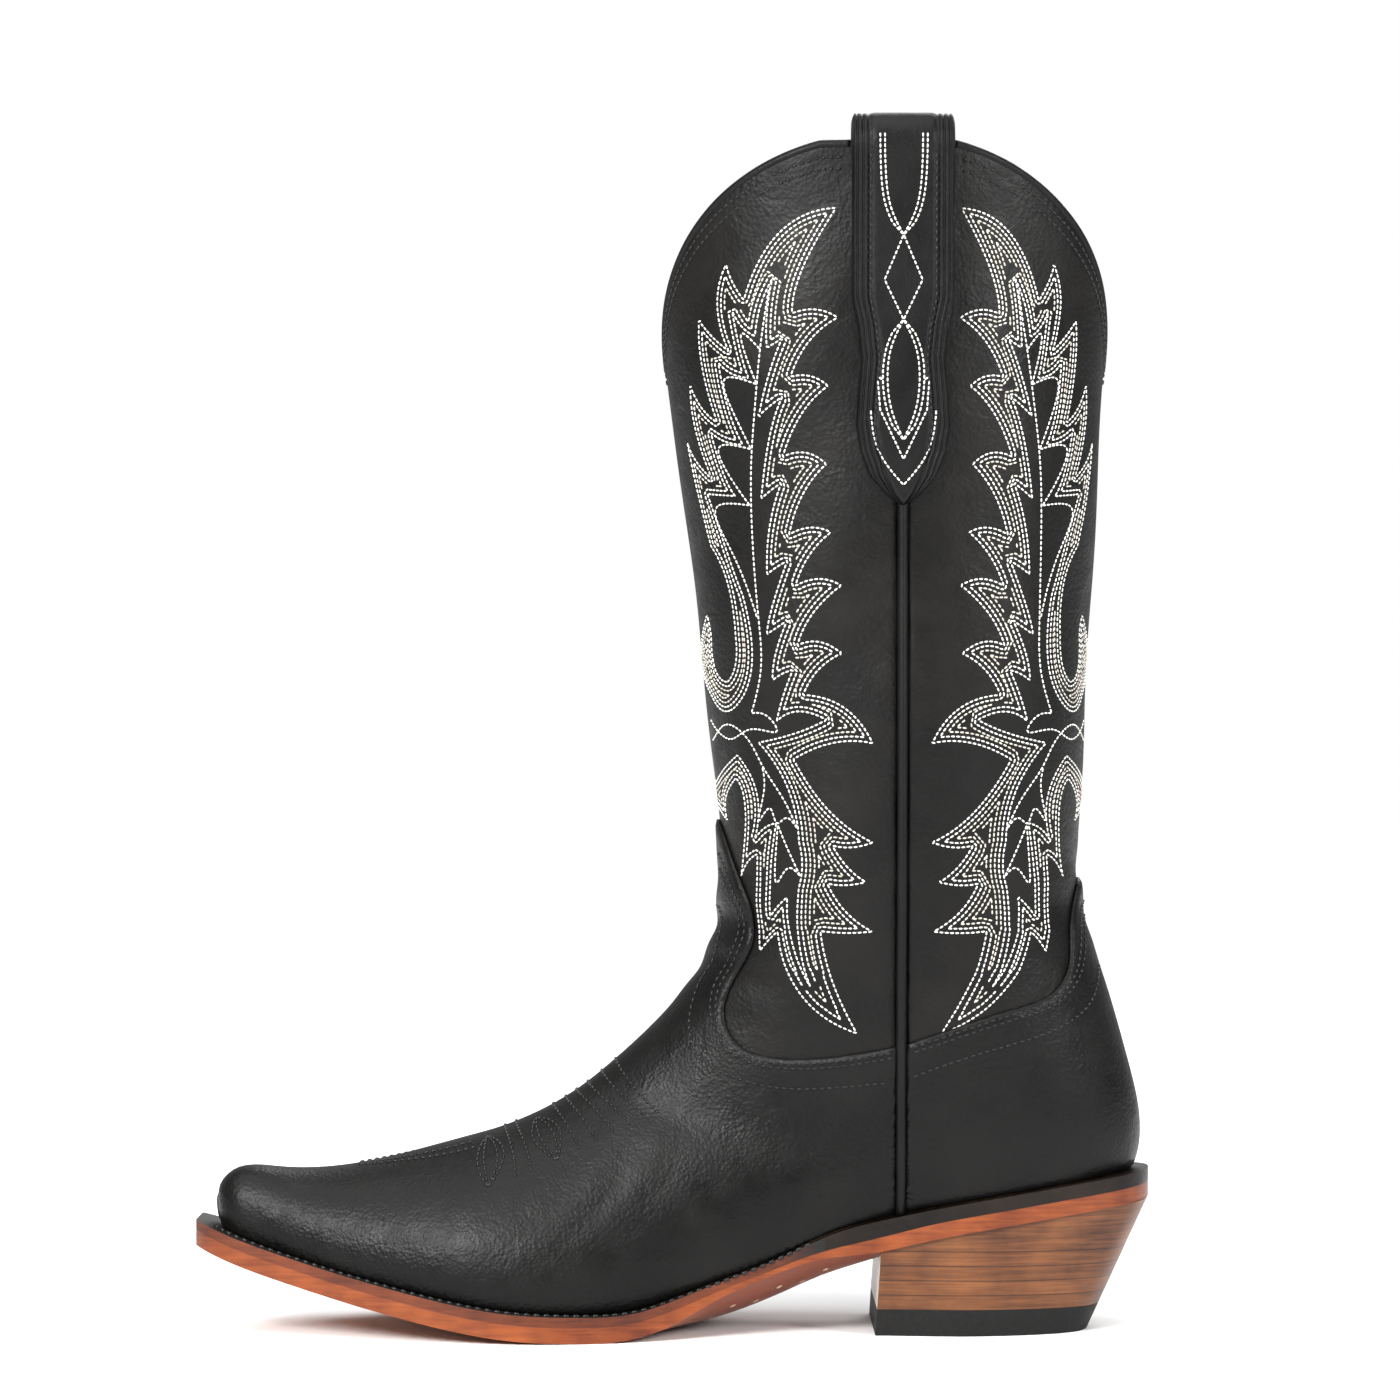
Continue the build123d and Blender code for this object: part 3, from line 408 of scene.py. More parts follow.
# Each stitch is a short barrel: five-sided rings at three stations between two pointed ends, its
# radius falling off towards them, flattened to its height and half sunk in the leather.
def stitchPiece(name, lines, material, size=thread):
    sides = barrel["sides"]
    parts = [s for s in (stations(line, normals, size["pitch"]) for line, normals in lines) if s]
    centre, tangent, normal = (np.concatenate([p[k] for p in parts]) for k in range(3))
    normal = unit(normal - tangent * (normal * tangent).sum(axis=1, keepdims=True))
    across = np.cross(normal, tangent)
    turns = np.tile(np.arange(sides) * 2 * math.pi / sides + math.pi / 2, 3)
    along, fat = np.repeat(barrel["rings"], sides) * size["long"], np.repeat(barrel["fat"], sides)
    wide, high = fat * np.cos(turns) * size["wide"] / 2, fat * np.sin(turns) * size["high"]
    tips = [[end * size["long"] / 2, 0, -barrel["tipSink"]] for end in (-1, 1)]
    local = np.vstack([np.stack([along, wide, high], axis=1), tips])
    points = centre[:, None] + local[None, :, :1] * tangent[:, None] + local[None, :, 1:2] * across[:, None]
    points = points + local[None, :, 2:] * normal[:, None]
    k = np.arange(sides)
    n, last = (k + 1) % sides, 2 * sides
    body = np.concatenate([np.stack([k + r, n + r, n + r + sides, k + r + sides], 1) for r in (0, sides)])
    startTip, endTip = np.full(sides, 3 * sides), np.full(sides, 3 * sides + 1)
    ends = np.concatenate([np.stack([startTip, n, k], 1), np.stack([endTip, k + last, n + last], 1)])
    offsets = np.arange(len(centre))[:, None, None] * len(local)
    faces = [(body[None] + offsets).reshape(-1, 4), (ends[None] + offsets).reshape(-1, 3)]
    return meshPiece(name, points, faces, material)


rowEnd = 0.035  # radians from the front and back edges of the boot where a laid row stops


# A side-view line laid on the boot at a distance above its surface, on one side.
# A stretch that runs past the front or back edge of the boot there is left out.
def laidLines(xz, side, distance):
    u, phi = locate(xz[:, 0], xz[:, 1], side)
    inside = (np.abs(phi) > rowEnd) & (np.abs(phi) < math.pi - rowEnd)
    points, normals = skin(u, phi, distance)
    return [(points[a:b], normals[a:b]) for a, b in runsOf(inside) if b - a > 2]


def offsetLine(line, amount):
    return line + leftOf(heading(line)) * amount


def newMaterial(name):
    material = bpy.data.materials.new(name)
    material.use_nodes = True
    return material, material.node_tree, material.node_tree.nodes["Principled BSDF"]


def addNode(tree, kind, **inputs):
    node = tree.nodes.new(kind)
    for key, value in inputs.items():
        if isinstance(value, bpy.types.NodeSocket):
            tree.links.new(value, node.inputs[key])
        else:
            node.inputs[key].default_value = value
    return node


def blendColours(tree, factor, first, second):
    node = tree.nodes.new("ShaderNodeMix")
    node.data_type = "RGBA"
    tree.links.new(factor, node.inputs[0])
    for socket, value in ((node.inputs[6], first), (node.inputs[7], second)):
        if isinstance(value, bpy.types.NodeSocket):
            tree.links.new(value, socket)
        else:
            socket.default_value = (*value, 1)
    return node.outputs[2]


def spread(tree, value, low, high, toLow=0.0, toHigh=1.0):
    node = addNode(tree, "ShaderNodeMapRange", Value=value)
    for key, number in (("From Min", low), ("From Max", high), ("To Min", toLow), ("To Max", toHigh)):
        node.inputs[key].default_value = number
    return node.outputs[0]


def noise(tree, place, scale, detail=3.0):
    return addNode(tree, "ShaderNodeTexNoise", Vector=place, Scale=scale, Detail=detail).outputs[0]


def stretched(tree, scale):
    place = tree.nodes.new("ShaderNodeTexCoord").outputs["Object"]
    return addNode(tree, "ShaderNodeMapping", Vector=place, Scale=scale).outputs[0]


def bumpInto(tree, shader, height, strength, distance, after=None):
    node = addNode(tree, "ShaderNodeBump", Height=height, Strength=strength, Distance=distance)
    if after:
        tree.links.new(after, node.inputs["Normal"])
    tree.links.new(node.outputs[0], shader.inputs["Normal"])
    return node.outputs[0]


# Dyed leather: cloudy colour, pebbled grain from rounded cells, fine pores and uneven polish.
def leatherMaterial(name, dark, light, rough, grain, depth):
    material, tree, shader = newMaterial(name)
    place = stretched(tree, (1, 1, 1))
    cloud = noise(tree, place, 38, 4)
    colour = blendColours(tree, spread(tree, cloud, 0.35, 0.68), dark, light)
    tree.links.new(colour, shader.inputs["Base Color"])
    cells = addNode(tree, "ShaderNodeTexVoronoi", Vector=place, Scale=grain)
    pores = noise(tree, place, grain * 2.6, 2)
    tree.links.new(spread(tree, noise(tree, place, 120, 4), 0.3, 0.7, *rough), shader.inputs["Roughness"])
    crinkle = addNode(
        tree, "ShaderNodeTexNoise", Vector=place, Scale=105, Detail=6, Roughness=0.62, Distortion=1.4
    )
    worn = bumpInto(tree, shader, crinkle.outputs[0], 0.32, 0.001)
    first = bumpInto(tree, shader, cells.outputs["Distance"], depth, 0.00022, worn)
    bumpInto(tree, shader, pores, depth * 0.8, 0.00012, first)
    shader.inputs["Specular IOR Level"].default_value = 0.17
    return material


# Leather seen on its cut edge: fibres run level, so the grain is stretched along the edge.
def edgeMaterial(name, dark, light, rough=0.5, fibre=(70, 70, 900), coat=0.06):
    material, tree, shader = newMaterial(name)
    fibres = noise(tree, stretched(tree, fibre), 1.0, 5)
    blotch = noise(tree, stretched(tree, (1, 1, 1)), 55, 4)
    factor = addNode(tree, "ShaderNodeMath")
    factor.operation = "MULTIPLY_ADD"
    tree.links.new(fibres, factor.inputs[0])
    factor.inputs[1].default_value = 0.6
    tree.links.new(spread(tree, blotch, 0.2, 0.8, 0.0, 0.55), factor.inputs[2])
    colour = blendColours(tree, spread(tree, factor.outputs[0], 0.36, 0.82), dark, light)
    tree.links.new(colour, shader.inputs["Base Color"])
    bumpInto(tree, shader, fibres, 0.5, 0.0002)
    shader.inputs["Roughness"].default_value = rough
    shader.inputs["Specular IOR Level"].default_value = 0.3
    shader.inputs["Coat Weight"].default_value = coat
    return material, tree, shader, colour


def normalAxis(tree, axis):
    geometry = tree.nodes.new("ShaderNodeNewGeometry")
    return addNode(tree, "ShaderNodeSeparateXYZ", Vector=geometry.outputs["Normal"]).outputs[axis]


# Twisted thread: fine slanted fibres on a soft, slightly uneven colour.
def threadMaterial(name, dark, light, rough=0.6, sheen=0.25):
    material, tree, shader = newMaterial(name)
    place = stretched(tree, (1, 1, 1))
    colour = blendColours(tree, spread(tree, noise(tree, place, 260, 3), 0.3, 0.7), dark, light)
    tree.links.new(colour, shader.inputs["Base Color"])
    bumpInto(tree, shader, noise(tree, place, 5200, 1), 0.3, 0.0001)
    shader.inputs["Roughness"].default_value = rough
    shader.inputs["Sheen Weight"].default_value = sheen
    shader.inputs["Specular IOR Level"].default_value = 0.4
    return material


# Each leather: dark and light colour, roughness range, grain scale and grain depth.
leathers = {
    "shaftBlack": ((0.0022, 0.002, 0.0019), (0.0065, 0.0058, 0.0052), (0.34, 0.5), 760, 0.4),
    "footBlack": ((0.002, 0.0019, 0.0018), (0.005, 0.0046, 0.0043), (0.31, 0.46), 900, 0.45),
    "trimBlack": ((0.002, 0.002, 0.002), (0.005, 0.0048, 0.0048), (0.36, 0.5), 1000, 0.3),
    "liningTan": ((0.34, 0.24, 0.14), (0.46, 0.34, 0.21), (0.55, 0.7), 620, 0.3),
    "boardTan": ((0.20, 0.12, 0.06), (0.30, 0.19, 0.10), (0.6, 0.75), 500, 0.3),
    "insoleTan": ((0.30, 0.19, 0.10), (0.40, 0.27, 0.15), (0.5, 0.65), 700, 0.25),
    "randBlack": ((0.006, 0.005, 0.0045), (0.018, 0.012, 0.009), (0.36, 0.5), 600, 0.25),
    "fillerCork": ((0.16, 0.08, 0.035), (0.42, 0.26, 0.13), (0.7, 0.85), 380, 0.6),
}
made = (leatherMaterial(name, *look) for name, look in leathers.items())
shaftBlack, footBlack, trimBlack, liningTan, boardTan, insoleTan, randBlack, fillerCork = made
whiteThread = threadMaterial("whiteThread", (0.66, 0.65, 0.61), (0.84, 0.83, 0.79))
creamThread = threadMaterial("creamThread", (0.46, 0.43, 0.37), (0.64, 0.61, 0.54))
blackThread = threadMaterial("blackThread", (0.002, 0.002, 0.002), (0.006, 0.006, 0.0058), 0.36, 0.0)

weltLeather, tree, shader, edgeColour = edgeMaterial(
    "weltLeather", (0.045, 0.008, 0.002), (0.155, 0.032, 0.007)
)
alongX = addNode(tree, "ShaderNodeSeparateXYZ", Vector=stretched(tree, (1, 1, 1))).outputs[0]
towardsHeel = spread(tree, alongX, 0.024, 0.044)
edgeColour = blendColours(tree, towardsHeel, edgeColour, (0.006, 0.005, 0.0045))
upFace = spread(tree, normalAxis(tree, 2), 0.55, 0.75)
tree.links.new(blendColours(tree, upFace, edgeColour, (0.009, 0.008, 0.0075)), shader.inputs["Base Color"])

soleLeather, tree, shader, edgeColour = edgeMaterial(
    "soleLeather", (0.095, 0.016, 0.003), (0.27, 0.062, 0.012), 0.42
)
downFace = spread(tree, normalAxis(tree, 2), -0.6, -0.8)
alongX = addNode(tree, "ShaderNodeSeparateXYZ", Vector=stretched(tree, (1, 1, 1))).outputs[0]
shankShare = spread(tree, alongX, -0.012, 0.012)
shankColour = blendColours(tree, shankShare, (0.28, 0.08, 0.022), (0.16, 0.03, 0.008))
tree.links.new(blendColours(tree, downFace, edgeColour, shankColour), shader.inputs["Base Color"])

rubberBlack, tree, shader = newMaterial("rubberBlack")
speck = noise(tree, stretched(tree, (1, 1, 1)), 900, 3)
rubberColour = blendColours(tree, speck, (0.004, 0.004, 0.004), (0.014, 0.0135, 0.013))
tree.links.new(rubberColour, shader.inputs["Base Color"])
bumpInto(tree, shader, speck, 0.25, 0.0001)
shader.inputs["Roughness"].default_value = 0.62
shader.inputs["Specular IOR Level"].default_value = 0.18

steelGrey, tree, shader = newMaterial("steelGrey")
brushed = noise(tree, stretched(tree, (40, 900, 900)), 1.0, 3)
steelColour = blendColours(tree, brushed, (0.32, 0.32, 0.33), (0.55, 0.55, 0.56))
tree.links.new(steelColour, shader.inputs["Base Color"])
tree.links.new(spread(tree, brushed, 0.2, 0.8, 0.28, 0.45), shader.inputs["Roughness"])
shader.inputs["Metallic"].default_value = 1.0

pegWood = edgeMaterial("pegWood", (0.42, 0.30, 0.16), (0.68, 0.55, 0.36), 0.6, (900, 900, 120), 0.0)[0]

stack = {"foot": 8.2, "lift": 4.5, "flat": 4}


def liftSpan(number):
    return stack["foot"] + stack["lift"] * (number - 1), stack["foot"] + stack["lift"] * number


# Stacked heel leather: each lift a slightly different brown, mottled, with a pale painted reflection of the
# floor on its breast face.
# A flat lift has a dark seam at its top. The wedges taper, so they have none.
def stackMaterial(number):
    warm = 0.85 + 0.3 * ((number * 37) % 11) / 11
    dark, light = (0.05 * warm, 0.015 * warm, 0.005 * warm), (0.19 * warm, 0.068 * warm, 0.022 * warm)
    material, tree, shader, colour = edgeMaterial(f"stackLeather_{number}", dark, light, 0.42, (60, 60, 1300))
    axes = addNode(tree, "ShaderNodeSeparateXYZ", Vector=stretched(tree, (1, 1, 1))).outputs
    if number <= stack["flat"]:
        share = spread(tree, axes[2], *(v / 1000 for v in liftSpan(number)))
        seam = spread(tree, share, 0.9, 0.99)
        colour = blendColours(tree, seam, colour, tuple(0.35 * v for v in dark))
    # Painted reflection: faces turned to the front (the breast) get a pale, streaky colour that stands in for
    # the floor's reflection.
    forward = spread(tree, normalAxis(tree, 0), -0.86, -0.93)
    reflectionStreaks = noise(tree, stretched(tree, (300, 300, 1200)), 1.0, 3)
    paintedBreastReflection = blendColours(tree, reflectionStreaks, (0.36, 0.32, 0.27), (0.6, 0.56, 0.5))
    tree.links.new(blendColours(tree, forward, colour, paintedBreastReflection), shader.inputs["Base Color"])
    return material


finishes = {
    "front_shaft_lining": liningTan, "back_shaft_lining": liningTan, "vamp_lining": liningTan,
    "heel_lining": liningTan, "toe_puff": boardTan, "vamp_interlining": boardTan,
    "heel_stiffener": boardTan, "insole_board": boardTan, "sock_liner": insoleTan,
    "cork_filler": fillerCork, "heel_rand": randBlack, "steel_shank": steelGrey,
    "welt": weltLeather, "outsole": soleLeather, "shank_pegs": pegWood, "rubber_top_lift": rubberBlack,
    "heel_nails": steelGrey,
}  # fmt: skip
for number in range(1, 8):
    finishes[f"heel_lift_{number}"] = stackMaterial(number)
for nodeName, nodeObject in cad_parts.items():
    if nodeName in finishes:
        nodeObject.data.materials.clear()
        nodeObject.data.materials.append(finishes[nodeName])
print("materials ready")

overlaid = (boot["overlay"], 0.05, footBlack, "upper_leather")
shaftSkin = (0.0, -boot["leather"], shaftBlack, "shaft_leather")
vamp = trimmedShell("vamp_leather", (girthKnots[6], lastKnot), shell["vampRows"], vampZone, *overlaid)
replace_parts(vamp, "vamp")
foxingRange = (girthKnots[6], girthKnots[15])
foxing = trimmedShell("foxing_leather", foxingRange, shell["foxingRows"], foxingZone, *overlaid)
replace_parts(foxing, "heel_foxing")
shaftRange = (0, girthKnots[13])
frontPanel = trimmedShell("front_shaft_leather", shaftRange, shell["panelRows"], frontZone, *shaftSkin)
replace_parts(frontPanel, "front_shaft_panel")
backPanel = trimmedShell("back_shaft_leather", shaftRange, shell["panelRows"], backZone, *shaftSkin)
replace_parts(backPanel, "back_shaft_panel")
print("leather panels ready")

# Feather on the shaft, a closed outline in the side view: corners of the barbs, each followed by a point
# that its edge passes.
feather = [
    (41, 342), (24, 335), (13.5, 315), (10, 320.5), (8, 326), (5.5, 314), (9, 300), (4, 304.5), (0, 309.5),
    (1, 296), (5.5, 278.5), (1, 283), (-2.5, 290), (-1, 276.5), (3.5, 261.5), (-1, 267), (-3.5, 273),
    (-0.5, 256), (3, 241), (8.5, 229), (11, 213.5), (11, 205), (8.5, 199.5), (5, 203), (3.5, 213),
    (3, 216.5), (2, 220), (0.5, 207), (4, 195), (8, 190.5), (13, 195), (16, 208), (13, 226),
    (8, 239), (2, 257), (5.5, 256.5), (10.5, 256), (7, 263), (3.5, 275.5), (8, 272.5), (13, 271.5),
    (9, 282), (6, 296.5), (10, 293), (15, 291.5), (12.5, 300), (10, 312), (13, 307), (17, 304),
    (18.5, 313), (22, 321), (20.5, 311), (20.5, 300.5), (22.5, 301.5), (25, 303), (21, 292), (18, 280),
    (21.5, 283), (25, 285.5), (21, 273), (18.5, 255), (21.5, 257.5), (24.5, 259.5), (21, 246), (20.5, 232),
    (23, 234), (26.5, 236), (22, 222), (20.5, 214), (23.5, 216), (26.5, 218), (23, 208), (22, 200),
    (25, 202), (28, 203), (25, 195), (23, 187.5), (29.5, 190.5), (38, 188), (29, 184), (17.5, 181),
    (26.5, 167), (30, 151), (31, 144), (30, 137), (30, 121), (33.5, 107), (28, 120), (26.5, 134),
    (24, 131.5), (21.5, 128), (21.5, 142), (23, 156.5), (19.5, 155), (16.5, 151.5), (17, 165), (11, 177),
    (4.5, 167), (8, 157), (7.5, 164), (10.5, 170), (13.5, 160), (12.5, 140), (14.5, 144.5), (17.5, 147),
    (17.5, 132), (18.5, 117.5), (21, 121), (23.5, 123.5), (31, 104), (47.5, 93), (40, 109), (36.5, 124),
    (44, 123.5), (52, 124), (44, 130), (38.5, 138.5), (44, 138), (50, 139), (44.5, 143.5), (40, 150),
    (46, 149.5), (52, 151), (39, 160.5), (28, 176), (40, 181), (52, 181), (43.5, 191.5), (31, 195.5),
    (35.5, 203), (42.5, 208), (36, 211.5), (29.5, 210.5), (34, 220), (42.5, 228.5), (36, 230.5), (29, 228.5),
    (33, 237.5), (39.5, 244.5), (33.5, 246), (27, 244), (31, 256), (38, 265), (32, 268.5), (25, 267.5),
    (30.5, 280), (38.5, 288.5), (33.5, 291.5), (27.5, 291.5), (33, 302), (41.5, 309), (35, 311.5),
    (28, 310.5), (31, 324),
]  # fmt: skip
veins = [
    [(21, 318), (18.5, 300), (17, 284), (15.5, 266), (16, 240), (18, 218), (18.5, 203), (15.5, 190)],
    [(15.5, 190), (19.5, 189.5), (23, 184.5), (15, 185), (9, 182), (5, 185), (3.5, 188)],
    [(4, 181.5), (8, 186.5), (13, 183.5), (18.5, 174), (25, 164), (29.5, 155)],
    [(18.5, 173.5), (19, 165.5), (18, 157.5), (21, 161), (23.5, 156.5), (25.5, 158), (29.5, 155)],
    [(23.5, 156), (23, 147), (23.5, 138.5), (27, 143), (30.5, 140.5)],
    [(23.5, 156), (26.5, 149), (30.5, 140.5)],
    [(18.5, 300), (13, 305), (15, 296), (17.5, 289.5)],
    [(17.5, 289.5), (8, 291.5), (10.5, 281), (15.5, 270)],
    [(15.5, 270), (6, 271), (9.5, 261), (15, 253)],
    [(15, 253), (5, 253), (9.5, 239), (17.5, 219)],
]
rowSettings = {"apart": 1.36, "most": 8, "bright": 2, "step": 0.5}


# Each edge is the parabola through corner, passing point and next corner.
def barbOutline(points):
    points = np.asarray(points, float)
    start, through, end = points[0::2], points[1::2], np.roll(points[0::2], -1, axis=0)
    control = 2 * through - (start + end) / 2
    t = np.linspace(0, 1, 24, endpoint=False)[None, :, None]
    curve = start[:, None] * (1 - t) ** 2 + 2 * control[:, None] * t * (1 - t) + end[:, None] * t**2
    return evenly(np.vstack([curve.reshape(-1, 2), points[:1]]), rowSettings["step"])


def evenly(line, step):
    length = lengthAlong(line)
    at = np.linspace(0, length[-1], max(3, int(length[-1] / step)))
    return np.stack([np.interp(at, length, line[:, 0]), np.interp(at, length, line[:, 1])], axis=1)


frontX = lambda z: np.interp(z, girths[:12, 1][::-1], girths[:12, 0][::-1])
backX = lambda z: np.interp(z, girths[:12, 3][::-1], girths[:12, 2][::-1])
arcTurns = np.linspace(0, math.pi, 400)
arcRatio = 0.68  # the shaft's width over its depth
arcLengths = np.concatenate([[0], np.cumsum(np.hypot(
    np.diff(np.cos(arcTurns)), arcRatio * np.diff(np.sin(arcTurns))))])  # fmt: skip


# The shaft rolled flat: distance round from the front is depth / 2 * arc length of a flattened circle.
def rollFlat(xz):
    depth = (backX(xz[:, 1]) - frontX(xz[:, 1])) / 2
    turn = np.arccos(np.clip(1 - (xz[:, 0] - frontX(xz[:, 1])) / depth, -1, 1))
    return np.stack([depth * np.interp(turn, arcTurns, arcLengths), xz[:, 1]], axis=1)


def rollUp(sz):
    depth = (backX(sz[:, 1]) - frontX(sz[:, 1])) / 2
    turn = np.interp(sz[:, 0] / depth, arcLengths, arcTurns)
    return np.stack([frontX(sz[:, 1]) + depth * (1 - np.cos(turn)), sz[:, 1]], axis=1)


# Rows inside a closed outline: the outline moved in by its normals, less what comes nearer to another
# part of the outline than the row's own distance.
def nestedRows(outline, settings):
    closed = evenly(np.vstack([outline, outline[:1]]), settings["step"])[:-1]
    after = np.roll(closed, -1, axis=0)
    tangent = unit(after - np.roll(closed, 1, axis=0))
    area = np.sum(closed[:, 0] * after[:, 1] - after[:, 0] * closed[:, 1])
    inward = leftOf(tangent) * np.sign(area)
    found = []
    for row in range(settings["most"]):
        away = row * settings["apart"]
        moved = closed + inward * away
        if row:
            gaps = np.sqrt(((moved[:, None] - closed[None]) ** 2).sum(axis=2)).min(axis=1)
            good = gaps > away * 0.985 - 0.06
        else:
            good = np.ones(len(moved), bool)
        found += [(row, moved[a:b]) for a, b in runsOf(good) if b - a > 3]
    return found


def toBack(xz):
    seam = boot["seamX"]
    wide = (backX(xz[:, 1]) - seam) / (seam - frontX(xz[:, 1]))
    return np.stack([seam + (seam - xz[:, 0]) * wide, xz[:, 1]], axis=1)


featherRows = [(row, rollUp(line)) for row, line in nestedRows(rollFlat(barbOutline(feather)), rowSettings)]
veinRows = [(0, evenly(smoothLine(v, 60), rowSettings["step"])) for v in veins]
for panelName, panelMap in (("front", lambda xz: xz), ("back", toBack)):
    for sideName, side in (("medial", -1), ("lateral", 1)):
        for colourName, material, wanted in (
            ("white", whiteThread, lambda row: row < rowSettings["bright"]),
            ("cream", creamThread, lambda row: row >= rowSettings["bright"]),
        ):
            chosen = [panelMap(xz) for row, xz in featherRows + veinRows if wanted(row)]
            lines = sum((laidLines(xz, side, 0.02) for xz in chosen), [])
            stitchPiece(f"{panelName}_{sideName}_{colourName}_feathers", lines, material)
print("feather stitching ready")

# Seams of the upper: rows beside the vamp's and the foxing's edges and laps, and two rows under the top
# binding of each panel.
seamThread = {"pitch": 2.3, "long": 1.8, "wide": 0.85, "high": 0.5}
topRows = {"drops": (3.6, 6.2), "lean": 1.35, "start": 0.03, "frontEnd": 1.37, "backEnd": 1.25, "count": 90}
seamLines = []
for side in (-1, 1):
    for amount in (1.3, 2.8):
        seamLines += laidLines(offsetLine(vampLine[2:-1], amount), side, boot["overlay"])
        seamLines += laidLines(offsetLine(foxingLine[2:-1], -amount), side, boot["overlay"])
    seamLines += laidLines(vampLapLine[2:], side, boot["overlay"])
    seamLines += laidLines(foxingLapLine[2:], side, boot["overlay"])
    for panelEnd in ("frontEnd", "backEnd"):
        for drop in topRows["drops"]:
            phi = np.linspace(topRows["start"], topRows[panelEnd], topRows["count"])
            phi = math.pi - phi if panelEnd == "backEnd" else phi
            z = topEdge(boot["topHalf"] * np.sin(phi)) - drop * topRows["lean"]
            u = np.interp(-z, -girths[:, 1], girthKnots)
            seamLines.append(skin(u, side * phi, 0.0))
stitchPiece("seam_stitching", seamLines, blackThread, seamThread)

# Toe stitching: paired rows along the ridge, two leaf shapes and wrinkle rows over the instep.
toeLines = []
uOfRidge = lambda x: np.interp(-np.asarray(x, float), -girths[:, 0][7:], girthKnots[7:])
toe = {
    "ridge": (-106, -71), "turns": (0.22, 0.32), "leaves": (-65.5, -50.5), "leafWide": 3.4,
    "rows": (-60, -56.5, -45, -41, -37, -33, -29, -25), "reach": 0.74, "slant": 115.0,
}  # fmt: skip
# Rows that run down from the ridge lean towards the heel: girth + slant * (1 - cosine of the angle).
downRow = lambda x, phi: skin(uOfRidge(x) + toe["slant"] * (1 - np.cos(phi)), phi, boot["overlay"])
for side in (-1, 1):
    x = np.linspace(*toe["ridge"], 60)
    for turn in toe["turns"]:
        phi = side * turn * np.sin(np.linspace(0.35, math.pi / 2, 60))
        toeLines.append(skin(uOfRidge(x), phi, boot["overlay"]))
    for middle in toe["leaves"]:
        phi = side * np.linspace(0.2, toe["reach"], 50)
        swell = np.sin(np.linspace(0, math.pi, 50))
        for wide in (-1.0, -0.5, 0.5, 1.0):
            toeLines.append(downRow(middle + wide * toe["leafWide"] * swell, phi))
for x in toe["rows"]:
    phi = np.linspace(-1, 1, 90) * toe["reach"]
    toeLines.append(downRow(np.full(90, float(x)), phi))
stitchPiece("toe_stitching", toeLines, blackThread, seamThread)
print("seams ready")

# Rings of points closed into a tube of trim with flat ends. Corners says in what order each face of
# ringFaces lists its corners, and the ends are listed the same way round.
def tubePiece(name, grid, corners):
    index = np.arange(grid.shape[0] * grid.shape[1]).reshape(grid.shape[:2])
    rising = (corners[1] - corners[0]) % 4 == 1
    ends = [index[:1, ::-1], index[-1:]] if rising else [index[:1], index[-1:, ::-1]]
    return meshPiece(name, grid, [ringFaces(index)[:, corners], *ends], trimBlack)


binding = {"outside": 0.55, "inside": -3.4, "high": 3.0, "sink": 0.9, "end": 15.9, "count": 220, "sides": 20}


# A rounded section (an ellipse across the shaft's wall) carried round the scalloped top edge, from one
# strap to the other.
def bindingPiece(name, isBack):
    frontTop, backTop = girths[1, 0], girths[1, 2]
    middleX, halfDepth = (backTop + frontTop) / 2, (backTop - frontTop) / 2
    way = 1 if isBack else -1
    reach = np.arccos(np.clip((boot["seamX"] + way * binding["end"] - middleX) / (way * halfDepth), -1, 1))
    turn = np.linspace(-reach, reach, binding["count"])
    phi = math.pi + turn if isBack else turn
    z = topEdge(boot["topHalf"] * np.sin(phi))
    spots, normal = skin(np.interp(-z, -girths[:, 1], girthKnots), phi, 0.0)
    wide, middle = (binding["outside"] - binding["inside"]) / 2, (binding["outside"] + binding["inside"]) / 2
    up = unit(np.cross(normal, heading(spots)))
    up *= np.sign(up[:, 2:])
    turns = np.linspace(0, 2 * math.pi, binding["sides"], endpoint=False)
    grid = spots[:, None] + normal[:, None] * (middle + wide * np.cos(turns))[None, :, None]
    grid = grid + up[:, None] * (binding["high"] / 2 * np.sin(turns) - binding["sink"])[None, :, None]
    facing = np.cross(grid[1, 0] - grid[0, 0], grid[0, 1] - grid[0, 0]) @ normal[0]
    return tubePiece(name, grid, [3, 2, 1, 0] if facing > 0 else [0, 1, 2, 3])


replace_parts(bindingPiece("front_binding_roll", False), "front_top_binding")
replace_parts(bindingPiece("back_binding_roll", True), "back_top_binding")

piping = {"top": 254.5, "foot": 37.4, "wide": 1.62, "deep": 2.0, "middle": 0.55, "count": 190, "sides": 22}


# A rounded bead carried down the side seam: an ellipse across the seam that covers both panel edges.
def pipingPiece(name, side):
    z = np.linspace(piping["top"], piping["foot"], piping["count"])
    u, phi = locate(np.full(len(z), boot["seamX"]), z, side)
    spots, normal = skin(u, phi, piping["middle"])
    across = np.cross(normal, heading(spots))
    turns = np.linspace(0, 2 * math.pi, piping["sides"], endpoint=False)
    grid = spots[:, None] + across[:, None] * (piping["wide"] * np.cos(turns))[None, :, None]
    grid = grid + normal[:, None] * (piping["deep"] * np.sin(turns))[None, :, None]
    return tubePiece(name, grid, [1, 0, 3, 2])


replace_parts(pipingPiece("medial_piping_bead", -1), "medial_side_piping")
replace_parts(pipingPiece("lateral_piping_bead", 1), "lateral_side_piping")

